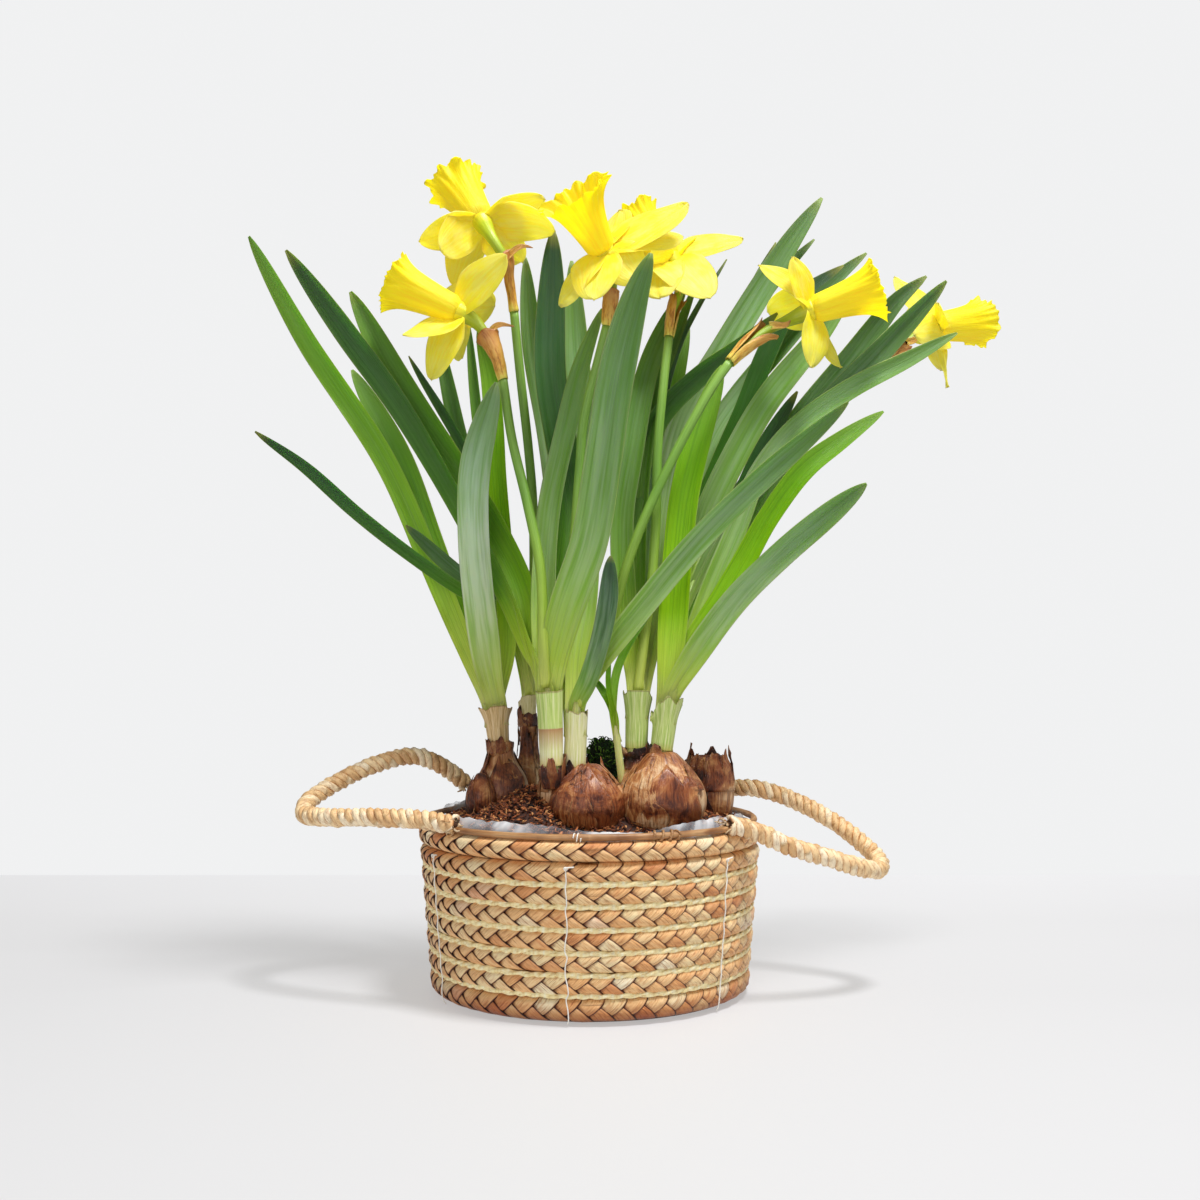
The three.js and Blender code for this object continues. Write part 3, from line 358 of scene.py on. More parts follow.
plait, tree = finish("plaited_stalk", Roughness=0.46)
streak, blotch, tone = fibre_nodes(tree, 15.0, 90.0)
straw = ramp(
    tree, tone, (0, 226, 156, 98), (0.12, 246, 192, 130), (0.6, 255, 212, 154), (0.9, 255, 230, 178),
    (0.97, 255, 242, 208), (1, 236, 176, 130),
)
mixed = stain(tree, 0.4, straw, ramp(tree, blotch, (0.3, 206, 146, 98), (0.5, 1)))
mixed = stain(tree, 0.6, mixed, ramp(tree, streak, (0.34, 160, 98, 52), (0.44, 238, 214, 186), (0.52, 1)))
# Painted shade: thin dark lines along the strands' edges, where they tuck under each other.
seam_shade = ramp(tree, edge_share(tree), (0.4, 1), (0.445, 134, 80, 42), (0.475, 30, 12, 4))
# Painted shade: each strand darkens where it dives under its neighbours, by its front mark.
deep = ramp(tree, mark_of(tree, "front"), (0.16, 26, 10, 4), (0.44, 140, 84, 46), (0.66, 1))
# Painted shade: the plait is darker at its very foot, next to the table.
foot_shade = ramp(tree, place_of(tree, 2, "Object"), (0, 120, 78, 50), (0.006, 196, 152, 116), (0.014, 1))
mixed = stain(tree, 0.95, stain(tree, 1.0, mixed, seam_shade), deep)
paint(tree, stain(tree, 1.0, mixed, foot_shade), streak, 0.0011)


@cache
def chance(seed):
    """The number from 0 to 1 that a seed always gives."""
    return random.Random(seed).random()


def strand_skin(bm, row, strand):
    """One flat strand of a plait. It slants across the row, rising from the back to the front, and
    folds back over the row's edge; leg counts its crossings and across runs along the plait."""
    height = ROW_HEIGHTS[row]
    top = (ROW_HEIGHTS[row + 1] - height) / 2 if row + 1 < len(ROW_HEIGHTS) else ROW_TOP
    below = (height - ROW_HEIGHTS[row - 1]) / 2 if row else ROW_FOOT
    half = (top + below) / 2 - ROW_GAP
    middle = height + (top - below) / 2
    start = 2 * strand / STRANDS + ROW_SHIFT * row
    seed = row * 3 + strand
    foot_tuck = 0 if row else FOOT_TUCK

    def level(share):
        return tanh(4 * (share - 0.5))

    @cache
    def bend(leg, across):
        part = leg - floor(leg)
        beyond = part if part > 0.5 else part + 1
        fold = min(1, max(0, (beyond - 1 + FOLD_SHARE) / (2 * FOLD_SHARE)))
        fold = fold * fold * (3 - 2 * fold)
        slant = across * STRAND_SLANT
        depth = level(beyond + slant) * (1 - fold) + level(beyond - 1 + slant) * fold
        rise = asin(FOLD_SHARPNESS * sin(pi * (leg - 0.5))) / asin(FOLD_SHARPNESS)
        return half * rise, STRAND_DEPTH * depth

    @cache
    def swell_at(leg):
        return 1 + 0.14 * rough(leg * 0.9, seed, 0), 0.55 * rough(leg * 0.45, 3, seed)

    def spread(u, v):
        even = 2 * STRAND_TURNS * v + start
        return even - 0.09 * sin(tau * even), round(cos(tau * u), 6)

    def place(u, v):
        leg, side = spread(u, v)
        swell, lift = swell_at(round(leg, 6) % (2 * STRAND_TURNS))
        across = STRAND_REACH * side
        rise, depth = bend(leg, across)
        rise_on, depth_on = bend(leg + NEAR, across)
        rise_back, depth_back = bend(leg - NEAR, across)
        run = Vector((rise_on - rise_back, depth_on - depth_back)).normalized()
        crease = 0.1 * cos(side * 8 + seed) + 0.07 * cos(side * 19 + leg * 2)
        puff = STRAND_THICKNESS / 2 * puffed(tau * u, 0.8) + crease * sin(tau * u)
        rise -= run.y * puff
        depth += run.x * puff - 0.3 * side * side
        z = max(LOWEST, middle + rise + lift * 0.7 + 0.4 * sin(tau * leg / STRAND_TURNS + row))
        tuck = ROW_BULGE * abs(rise / half) ** 3 + foot_tuck * max(0, 1 - z / 8) ** 2
        radius = crest_radius(z) - STRAND_SINK + STRAND_DEPTH + depth + 0.35 * lift - tuck
        way = (leg - start) / (2 * STRAND_TURNS) * tau
        way += (across * swell - STRAND_LEAN * sqrt(rise * rise + 2)) / radius
        return from_front(radius, way, z)

    def tone(u, v):
        return chance(floor(spread(u, v)[0]) % (2 * STRAND_TURNS) * 31 + strand * 7 + row * 101)

    # The front mark drives the plait's painted shade where a strand dives under its neighbours.
    def front(u, v):
        leg, side = spread(u, v)
        return 0.5 + 0.5 * bend(leg, STRAND_REACH * side)[1] / STRAND_DEPTH

    skin(bm, STRAND_SIDES, STRAND_STEPS, place, ring=True, tone=tone, front=front)


for row in range(len(ROW_HEIGHTS)):
    bm = bmesh.new()
    for strand in range(STRANDS):
        strand_skin(bm, row, strand)
    make_piece(f"wall_plait_{row + 1}", bm, plait, "plait", "basket_wall")

# Inside of the wall, seen between the strands: the strands' own shaded backs, pressed together.
LINING_INSET = 7.3
LINING_MIDDLE = 54
LINING_REACH = 52.5
LINING_FLAT = 1.3


def lining_place(u, v):
    z = LINING_MIDDLE + LINING_REACH * max(-1, min(1, LINING_FLAT * sin(tau * u)))
    half = (WALL_THICKNESS - LINING_INSET) / 2
    radius = crest_radius(z) - LINING_INSET - half
    radius += half * max(-1, min(1, LINING_FLAT * cos(tau * u)))
    return from_front(radius, tau * v, z)


bm = bmesh.new()
# The low front mark paints the lining near black with the plait's painted shade.
skin(bm, 24, 96, lining_place, ring=True, tone=0.1, front=0.1)
make_piece("wall_lining", bm, plait, "plait", "basket_wall")

# Base
# One plait of the same stalk coiled flat from the middle outwards and stitched to the wall's foot.
BASE_TURNS = 7
BASE_THICKNESS = 8
COIL_PITCH = (WALL_FOOT_RADIUS - WALL_THICKNESS - 0.3) / BASE_TURNS
COIL_DENT = 0.12
COIL_CROSSING = 7.5
bm = bmesh.new()
for turn_number in range(BASE_TURNS):
    ring_radius = COIL_PITCH * (turn_number + 0.5)

    def coil_place(u, v):
        turn = tau * u
        angle = tau * v
        dent = 1 - COIL_DENT * abs(sin(angle * ring_radius / COIL_CROSSING + cos(turn) * 1.4))
        radius = ring_radius + COIL_PITCH * 0.5 * cos(turn)
        z = BASE_THICKNESS / 2 + (BASE_THICKNESS / 2 - 0.1) * sin(turn) * dent
        return radius * cos(angle), radius * sin(angle), z

    skin(bm, 10, max(16, int(ring_radius * 1.4)), coil_place, ring=True, tone=0.5, front=0.8)
make_piece("base_coil", bm, plait, "plait", "basket_base")

# Raffia cords
# A loose two-ply cord of pale raffia lies in each groove between the plaits but the top one,
# caught by the stitching threads.
GROOVE_HEIGHTS = [18, 30, 43, 56.7, 70.5, 83.5]
RAFFIA_INSET = 2.9
PLY_RADIUS = 1.45
PLY_TURNS = 34


def fibrous(name, weave, depth, follows, base, lines=(), share=1.0, **constants):
    """A finish whose base colours follow the streak, the blotch, the tone or a way of the UV map,
    under the lines that its streaks draw along the piece."""
    material, tree = finish(name, **constants)
    guides = dict(zip(("streak", "blotch", "tone"), fibre_nodes(tree, *weave)))
    colour = ramp(tree, guides[follows] if follows in guides else place_of(tree, follows), *base)
    if lines:
        colour = stain(tree, share, colour, ramp(tree, guides["streak"], *lines))
    paint(tree, colour, guides["streak"], depth)
    return material


raffia = fibrous(
    "raffia", (5.0, 160.0), 0.0004,
    "blotch", [(0.3, 246, 222, 158), (0.5, 254, 238, 182), (0.72, 255, 250, 220)],
    [(0.34, 204, 176, 116), (0.5, 1)], 0.6, Roughness=0.58,
)


def ply_skin(bm, height, ply):
    def place(u, v):
        angle = tau * v
        wander = rough_ring(angle, 4, height)
        twist = tau * (PLY_TURNS * v + ply / 2) + 2.0 * wander
        turn = tau * u
        thick = PLY_RADIUS * (1 + 0.25 * wander)
        out = 0.6 * cos(twist) + thick * 0.8 * cos(turn)
        up = 0.7 * sin(twist) + thick * sin(turn) + 0.6 * wander
        return from_front(crest_radius(height) - RAFFIA_INSET + out, angle, height + up)

    skin(bm, 7, PLY_TURNS * 9, place, ring=True, tone=0.3 + 0.4 * ply)


for index, height in enumerate(GROOVE_HEIGHTS, 1):
    bm = bmesh.new()
    for ply in range(2):
        ply_skin(bm, height, ply)
    make_piece(f"raffia_twist_{index}", bm, raffia, "raffia", f"raffia_cord_{index}")

# Stitching threads
# White polyester sewing threads run down the outside at six places, each sinking into the grooves,
# with a knot under the top plait and a loose tail at the foot.
STITCH_ANGLES = [-60, -7, 49, 109, 170, 232]
STITCH_BOTTOM = 1.5
STITCH_TOP = 94
STITCH_ENDS = (2.5, 96.2)
THREAD_RADIUS = 0.4
THREAD_SIDES = 6
CURVE_STEPS = 24
# A knot's points beside the thread's top: further round in degrees, up and out.
KNOT = [(-0.6, 0, 0), (0.0, 0.9, 0.7), (0.6, 0, 0), (0.0, -0.9, 0.7), (-0.4, 0.3, 0.9), (2.6, 1.0, 0.1)]
thread = fibrous(
    "sewing_thread", (3.0, 60.0), 0.0002,
    "streak", [(0.3, 232, 226, 212), (0.6, 255, 253, 246)], Roughness=0.5,
)


def smooth_route(points, steps):
    """Points at even steps along the centripetal curve through the given points."""
    points = [Vector(point) for point in points]
    whole = [2 * points[0] - points[1], *points, 2 * points[-1] - points[-2]]
    fine = []
    for a, b, c, d in zip(whole, whole[1:], whole[2:], whole[3:]):
        before, here, after = (sqrt((q - p).length) for p, q in ((a, b), (b, c), (c, d)))
        leave = ((b - a) / before - (c - a) / (before + here) + (c - b) / here) * here
        reach = ((c - b) / here - (d - b) / (here + after) + (d - c) / after) * here
        for step in range(CURVE_STEPS):
            t = step / CURVE_STEPS
            bend = 3 * (c - b) - 2 * leave - reach
            fine.append(b + leave * t + bend * t ** 2 + (2 * (b - c) + leave + reach) * t ** 3)
    fine.append(points[-1])
    lengths = [0.0]
    for one, two in zip(fine, fine[1:]):
        lengths.append(lengths[-1] + (two - one).length)
    route = []
    spot = 0
    for step in range(steps + 1):
        want = lengths[-1] * step / steps
        while spot < len(fine) - 2 and lengths[spot + 1] < want:
            spot += 1
        part = (want - lengths[spot]) / max(1e-9, lengths[spot + 1] - lengths[spot])
        route.append(fine[spot].lerp(fine[spot + 1], min(1, part)))
    return route


def way_at(route, step):
    """The direction of a route at one of its steps."""
    return (route[min(len(route) - 1, step + 1)] - route[max(0, step - 1)]).normalized()


def wheel(aside, above, turn):
    """The direction at a turn in the plane of two others."""
    return aside * cos(turn) + above * sin(turn)


def cord_skin(bm, points, radius, sides, steps, tone=0.5):
    """A round cord along a route; the radius is a number or follows the way along."""
    route = smooth_route(points, steps)

    @cache
    def frame_at(v):
        step = round(v * steps)
        way = way_at(route, step)
        aside = way.cross(Vector((0.3, 1, 0.2))).normalized()
        reach = radius(v) if callable(radius) else radius
        return route[step], aside * reach, way.cross(aside) * reach

    def place(u, v):
        point, aside, above = frame_at(v)
        return point + wheel(aside, above, tau * u)

    skin(bm, sides, steps, place, tone=tone)


def round_wall(turn, height, out):
    """A point beside the wall's outside, at an angle from the front in degrees."""
    return from_front(crest_radius(height) + out, radians(turn), height)


for index, turn in enumerate(STITCH_ANGLES, 1):
    rng = random.Random(index)
    route = [round_wall(turn, STITCH_BOTTOM, -1.0)]
    for low, high in zip([STITCH_ENDS[0], *GROOVE_HEIGHTS], [*GROOVE_HEIGHTS, STITCH_ENDS[1]]):
        lean = rng.uniform(-0.5, 0.5)
        route.append(round_wall(turn + lean, low + 1.5, 0.5))
        route.append(round_wall(turn + lean * 0.7, (low + high) / 2, 0.9))
        route.append(round_wall(turn - lean * 0.5, high - 1.5, 0.4))
    route[-1] = round_wall(turn, STITCH_TOP, -0.6)
    bm = bmesh.new()
    cord_skin(bm, route, THREAD_RADIUS, THREAD_SIDES, 90)
    knot = [round_wall(turn + more, STITCH_TOP - 0.5 + up, 0.3 + out) for more, up, out in KNOT]
    cord_skin(bm, knot, THREAD_RADIUS, THREAD_SIDES, 24)
    make_piece(f"thread_{index}", bm, thread, "thread", f"stitch_{index}")

# Cane hoop
# A split cane bent into a ring lies on the top plait and holds the film liner's edge. It is bound
# on with thread loops and a twist of its own bark.
HOOP_RADIUS = 106
CANE_RADIUS = 2.2
HOOP_HEIGHT = 111
CANE_JOINTS = 9
TIE_POINTS = 8
TIE_TURNS = (-3.6, 62, 128, 171, 240, 300)
cane = fibrous(
    "cane", (7.0, 30.0), 0.0003,
    "blotch", [(0.3, 150, 104, 62), (0.55, 186, 140, 92), (0.75, 206, 166, 118)],
    [(0.35, 170, 120, 80), (0.6, 1)], 0.5, Roughness=0.45,
)


def hoop_place(u, v):
    angle = tau * v
    turn = tau * u
    wander = rough_ring(angle, 2, 5)
    joint = 1 + 0.12 * exp(-((v * CANE_JOINTS % 1 - 0.5) / 0.05) ** 2)
    radius = HOOP_RADIUS + 0.7 * wander + CANE_RADIUS * joint * cos(turn)
    return from_front(radius, angle, HOOP_HEIGHT + 0.5 * wander + CANE_RADIUS * 0.9 * joint * sin(turn))


bm = bmesh.new()
skin(bm, 12, 180, hoop_place, ring=True)
make_piece("cane_ring", bm, cane, "cane", "rim_hoop")


def hoop_tie(bm, middle, spread, turns, radius):
    """A thread or strip wound round the hoop, leaning along it by its spread in degrees."""
    reach = CANE_RADIUS + radius
    points = []
    for step in range(turns * TIE_POINTS + 1):
        turn = tau * step / TIE_POINTS
        angle = radians(middle + spread * (step / (turns * TIE_POINTS) - 0.5))
        z = HOOP_HEIGHT + reach * 0.95 * sin(turn)
        points.append(from_front(HOOP_RADIUS + reach * cos(turn), angle, z))
    cord_skin(bm, points, radius, THREAD_SIDES, turns * 20)


bm = bmesh.new()
for turn in TIE_TURNS:
    hoop_tie(bm, turn, 2.4, 2, THREAD_RADIUS)
make_piece("hoop_threads", bm, thread, "thread")
bm = bmesh.new()
hoop_tie(bm, 25, 9, 3, 0.8)
hoop_tie(bm, 28, -4, 1, 0.6)
make_piece("bark_twist", bm, cane, "cane")

# Rope handles
# A stiff core wound closely with flat straw in three strips side by side. Each handle is bent out
# in a loop and lashed over the rim at both of its ends.
CORE_RADIUS = 4
STRIP_SEAT = 3.1
HANDLES = {
    "handle_left": [
        (-80, -70, 114), (-102, -59, 116), (-136, -45, 116), (-166, -28, 114), (-184, -8, 114),
        (-184, 10, 121), (-164, 25, 134), (-140, 38, 144), (-119, 46, 147), (-100, 52, 139), (-86, 58, 127),
    ],
    "handle_right": [
        (84, -66, 114), (103, -56, 108), (122, -50, 99), (146, -42, 91), (172, -28, 82), (187, -9, 79),
        (186, 8, 86), (164, 24, 104), (138, 36, 118), (116, 42, 125), (97, 46, 126),
    ],
}
ROPE_STEPS = 520
TASSEL = 14
STRIPS = 3
STRIP_LEAD = 16.5
straw_rope, tree = finish("straw_strip", Roughness=0.5)
streak, blotch, tone = fibre_nodes(tree, 4.0, 120.0)
pale = ramp(tree, tone, (0, 222, 176, 120), (0.35, 242, 204, 150), (0.7, 253, 226, 180), (1, 255, 238, 206))
pale = stain(tree, 0.6, pale, ramp(tree, streak, (0.34, 160, 110, 66), (0.52, 1)))
# Painted shade: the strips darken to near black at their edges, in the gaps between wraps.
rims = ramp(tree, edge_share(tree), (0.3, 1), (0.41, 196, 144, 90), (0.47, 100, 58, 28), (0.5, 50, 26, 12))
paint(tree, stain(tree, 0.92, pale, rims), streak, 0.0006)
core_rope = fibrous(
    "rope_core", (6.0, 60.0), 0.0006, "streak", [(0.3, 50, 28, 14), (0.7, 96, 60, 32)], Roughness=0.85,
)


def any_way(rng, low, high):
    """A direction drawn at random, its rise between low and high."""
    return Vector((rng.uniform(-1, 1), rng.uniform(-1, 1), rng.uniform(low, high)))


def handle(name, points):
    """A wound rope along a route, with a tassel of straw ends at each of its own ends."""
    route = smooth_route(points, ROPE_STEPS)
    length = sum((b - a).length for a, b in zip(route, route[1:]))
    turns = round(length / STRIP_LEAD)
    per_mm = ROPE_STEPS / length
    bm = bmesh.new()
    cord_skin(bm, points, lambda v: CORE_RADIUS * min(1, 0.3 + 60 * min(v, 1 - v)), 10, 120)
    make_piece(f"{name}_core", bm, core_rope, "rope", name)

    @cache
    def rope_at(spot):
        low = int(spot)
        way = way_at(route, low)
        aside = way.cross(Vector((0.1, 0.2, 1))).normalized()
        return route[low].lerp(route[min(ROPE_STEPS, low + 1)], spot - low), aside, way.cross(aside)

    bm = bmesh.new()
    for strip in range(STRIPS):
        @cache
        def strip_at(v):
            wander, wide, swell = (
                rough(strip * 11 + x, 3 + y, len(name)) for x, y in ((v * 34, 0), (0, v * 70), (v * 90, 4))
            )
            twist = tau * (turns * v + strip / STRIPS) + 0.5 * wander
            return wander, STRIP_LEAD / STRIPS * (0.465 + 0.16 * wide), twist, 2.3 * (1 + 0.5 * swell)

        def place(u, v):
            wander, half, twist, swell = strip_at(v)
            side = cos(tau * u)
            spot = v * ROPE_STEPS + (side * half + wander * 1.1) * per_mm
            centre, aside, above = rope_at(max(0, min(ROPE_STEPS, spot)))
            fold = 0.2 * side + 0.2 * cos(side * 7 + strip) * sin(tau * u)
            lift = STRIP_SEAT + 0.7 * puffed(tau * u) + swell * (1 - abs(side) ** 2.5) + fold
            return centre + wheel(aside, above, twist - 0.5 * side) * lift

        skin(bm, 12, turns * 18, place, tone=lambda u, v: chance(floor(turns * v * 2 + 0.3) * 13 + strip))
    rng = random.Random(len(name))
    for end in (0, ROPE_STEPS):
        tip = route[end]
        way = way_at(route, end) * (1 if end else -1)
        for _ in range(TASSEL):
            aside = any_way(rng, -1, 0.6)
            start = tip - way * rng.uniform(0, 5) + aside * 3.6
            bow = start + way * rng.uniform(1, 4) + aside * rng.uniform(1, 2.6)
            stop = bow + Vector((rng.uniform(-4, 4), rng.uniform(-3, 3), rng.uniform(-5, 1)))
            cord_skin(bm, [start, bow, stop], lambda v: 1 - 0.6 * v, 5, 8, rng.random())
    make_piece(f"{name}_straw", bm, straw_rope, "rope", name)


for name, points in HANDLES.items():
    handle(name, points)

# Film liner
# A bag of thin clear film lines the wall, keeps the soil in and shows a crinkled edge at the rim.
FILM_RIM = 112.5
FILM_FOOT = 60
FILM_THICKNESS = 0.5
FILM_RISE = 4.6
FILM_BEND = 104
FILM_STRAIGHT = 108
# Where the film stands up over the hoop: way round from the front in radians, half width in degrees.
FILM_SHOWN = [(-0.75, 42), (0.95, 26), (2.6, 30), (4.3, 24)]
film, tree = finish("clear_film", Roughness=0.16)
crumple = speckle(tree, Scale=30.0, Detail=3.0, Distortion=0.8)
dress(tree, Alpha=ramp(tree, crumple, (0.36, 0.05), (0.5, 0.18), (0.64, 0.66)))
haze = ramp(tree, crumple, (0.36, 196, 202, 212), (0.5, 224, 229, 237), (0.62, 252, 253, 255))
paint(tree, haze, crumple, 0.0012)


def film_radius(height):
    return crest_radius(height) - WALL_THICKNESS - 0.4


def film_place(u, v):
    angle = tau * v
    part = (sin(tau * u) + 1) / 2
    crease = rough_ring(angle, 9, part * 1.5)
    fine = rough_ring(angle, 26, part * 3)
    shown = sum(exp(-(degrees((angle - spot + pi) % tau - pi) / wide) ** 4) for spot, wide in FILM_SHOWN)
    z = FILM_FOOT + (FILM_RIM + FILM_RISE * shown + 1.3 * crease + 1.2 * fine - FILM_FOOT) * part
    over = max(0, (z - FILM_BEND) / 10)
    radius = film_radius(min(z, FILM_STRAIGHT)) - part ** 3 - 2.6 * over ** 2 - 0.4
    radius += part ** 4 * (crease + 0.5 * fine)
    return from_front(radius + FILM_THICKNESS / 2 * cos(tau * u), angle, z)


bm = bmesh.new()
skin(bm, 40, 300, film_place, ring=True)
make_piece("film_bag", bm, film, "film", "liner")

# Soil
# Coarse peaty compost heaped round the bulbs: a lumpy mound under loose crumbs and fine fibres.
SOIL_EDGE = 110.5
SOIL_MOUND = 12
MOUND_REACH = 94
MOUND_SHARE = 0.8
SOIL_RADIUS = 97.3
SOIL_FOOT = 60.0
CHIPS = 5200
CHIP_REACH = 96
FIBRES = 420
FIBRE_REACH = 93
FIBRE_RADIUS = 0.28
HEAP = (-37, -30)
HEAP_WIDE = 23
HEAP_HIGH = 13
HEAP_SPREAD = 15
FRONT_DIP = 6
BATCH = 60
earth, tree = finish("compost", Roughness=0.75)
lumps = speckle(tree, Scale=420.0, Detail=5.0, Roughness=0.7)
grains = ramp(
    tree, mark_of(tree, "tone"), (0, 28, 14, 8), (0.3, 92, 46, 22), (0.55, 160, 90, 46), (0.8, 214, 136, 76),
    (1, 244, 188, 124),
)
dark = ramp(tree, lumps, (0.36, 120, 84, 66), (0.5, 210, 180, 160), (0.6, 1))
paint(tree, stain(tree, 0.8, grains, dark), lumps, 0.0012)


def kept(value):
    """A value held between 0 and 1."""
    return min(1, max(0, value))


def mound_height(x, y):
    heap = HEAP_HIGH * exp(-((x - HEAP[0]) ** 2 + (y - HEAP[1]) ** 2) / HEAP_WIDE ** 2)
    dip = FRONT_DIP * (kept((-46 - y) / 16) * kept((x + 26) / 14) * kept((MOUND_REACH + y) / 14))
    return SOIL_EDGE + SOIL_MOUND * (1 - (x * x + y * y) / MOUND_REACH ** 2) + heap - dip


def mound_place(u, v):
    angle = tau * u
    if v >= MOUND_SHARE:
        return from_front(SOIL_RADIUS * (1 - v) / (1 - MOUND_SHARE), angle, SOIL_FOOT)
    part = v / MOUND_SHARE
    x, y, _ = from_front(SOIL_RADIUS * part, angle, 0)
    return x, y, mound_height(x, y) + 1.6 * noise.noise(Vector((x, y, 0)) * 0.11) * (1 - part ** 6) - 0.6


def in_batches(bm, count, add):
    """Adds many small shapes: each lot is made in a mesh of its own, which keeps every step short."""
    for first in range(0, count, BATCH):
        lot = bmesh.new()
        lot.loops.layers.uv.verify()
        lot.verts.layers.float.new("tone")
        for index in range(first, min(count, first + BATCH)):
            add(lot, index)
        mesh = bpy.data.meshes.new("lot")
        lot.to_mesh(mesh)
        lot.free()
        bm.from_mesh(mesh)
        bpy.data.meshes.remove(mesh)


def chip(lot, index):
    """One shred of peat or bark: a ball of twenty faces drawn out, flattened and turned at random."""
    radius = CHIP_REACH * rng.random() ** 0.42
    x, y, _ = from_front(radius, rng.uniform(0, tau), 0)
    if index % 5 == 0:
        x, y = rng.gauss(HEAP[0], HEAP_SPREAD), rng.gauss(HEAP[1], HEAP_SPREAD)
    spot = Vector((x, y, mound_height(x, y) + rng.uniform(-0.6, 1.6)))
    turn = Matrix.Rotation(rng.uniform(0, tau), 4, "Z") @ Matrix.Rotation(rng.gauss(0, 0.5), 4, "Y")
    squeeze = Matrix.Diagonal((rng.uniform(0.8, 2.9), rng.uniform(0.35, 0.8), rng.uniform(0.25, 0.6), 1))
    matrix = Matrix.Translation(spot * MM) @ turn @ squeeze
    size = rng.uniform(0.65, 1.65) * MM
    tone = kept(rng.gauss(0.5, 0.27))
    tones = lot.verts.layers.float["tone"]
    for vert in bmesh.ops.create_icosphere(lot, subdivisions=1, radius=size, matrix=matrix)["verts"]:
        vert[tones] = tone


def fibre(lot, index):
    """A curled root or coir fibre lying on the soil."""
    radius = FIBRE_REACH * sqrt(rng.random())
    x, y, _ = from_front(radius, rng.uniform(0, tau), 0)
    base = Vector((x, y, mound_height(x, y) + 0.8))
    lean = any_way(rng, 0, 0.5)
    curl = any_way(rng, 0, 0.8)
    size = rng.uniform(2, 5)
    points = [base, base + lean * size * 0.5, base + lean * size + curl * size * 0.4]
    cord_skin(lot, points, FIBRE_RADIUS, 3, 3, 0.9)


bm = bmesh.new()
skin(bm, 80, 44, mound_place, tone=0.15)
rng = random.Random(7)
in_batches(bm, CHIPS, chip)
in_batches(bm, FIBRES, fibre)
make_piece("compost", bm, earth, "soil", "soil")

# Bulbs
# Narcissus bulbs half out of the soil, in glossy brown papery tunics with ribs, splits and loose
# flaking edges. Offsets have grown together with their mothers.
ONION = [(0, 0), (0.5, 0.03), (0.9, 0.2), (1.0, 0.4), (0.86, 0.6), (0.54, 0.78), (0.42, 0.9), (0.44, 1)]
ROUND = [
    (0, 0), (0.45, 0.03), (0.84, 0.18), (1.0, 0.43), (0.92, 0.63), (0.68, 0.81), (0.45, 0.94),
    (0.3, 1), (0, 1),
]
LONG_NECK = [(0, 0), (0.6, 0.05), (1, 0.28), (0.86, 0.48), (0.52, 0.64), (0.44, 0.82), (0.43, 1)]
TORN_CUP = [
    (0, 0), (0.5, 0.04), (0.88, 0.22), (1, 0.46), (0.96, 0.7), (0.86, 0.9), (0.74, 1), (0.56, 0.94),
    (0.36, 0.84), (0, 0.8),
]
# A bulb's lobe is (x, z, y, radius, height, profile, tone): seen place and depth of its foot, and
# a tone from dark red-brown, 0, to pale tan, 1.
BULBS = {
    1: [(-57, 104, 5, 18, 56, ONION, 0.6), (-71, 106, -13, 9.5, 33, ROUND, 0.3)],
    2: [(-40.5, 106, 36, 13, 71, LONG_NECK, 0.75)],
    3: [(-1.5, 97, -45, 24, 46, ROUND, 0.5), (-19, 103, -37, 14.5, 47, ROUND, 0.62)],
    4: [(47, 96, -38, 27.5, 55, ROUND, 0.62), (31, 107, -31, 13.5, 46, ROUND, 0.45)],
    5: [(77, 102, 5, 17, 49, TORN_CUP, 0.45)],
}
# The core of each shoot: its foot in the bulb, its top and its radius.
CORES = {
    1: ((-58.6, 152, 5), (-62, 185, 5), 6.4),
    2: ((-40.5, 170, 36), (-41, 194, 36), 4.6),
    3: ((-24.7, 137, -50), (-26.7, 199, -50), 6),
    4: ((-10.4, 136, -43), (-8.5, 186, -43), 5.9),
    5: ((21.2, 132, -36), (15, 182, -39.5), 2.4),
    6: ((30, 150, -30), (31, 195, -30), 6),
    7: ((45.6, 148, -35), (51, 191, -35), 6),
}
# Torn collars round the shoots' feet: (bulb, shoot, from, to, radius, flakes), along the core.
COLLARS = [
    (1, 1, -0.12, 0.28, 8.0, 10), (2, 2, 0.0, 0.42, 6.4, 10), (3, 3, -0.12, 0.15, 8.0, 9),
    (3, 4, -0.12, 0.15, 7.8, 9), (4, 6, -0.12, 0.17, 8.6, 10), (4, 7, -0.12, 0.18, 9.0, 10),
]
LOBE_SIDES = 64
LOBE_STEPS = 36
TUNIC_INSET = 0.5
SHEETS = 5
FLAKES = 6
TORN_EDGE = 9
tunic, tree = finish("bulb_tunic", Roughness=0.32, Coat_Weight=0.16, Coat_Roughness=0.25)
streak, blotch, tone = fibre_nodes(tree, 34.0, 3.0)
patch = speckle(tree, Scale=46.0, Detail=6.0, Roughness=0.66, Distortion=0.8)
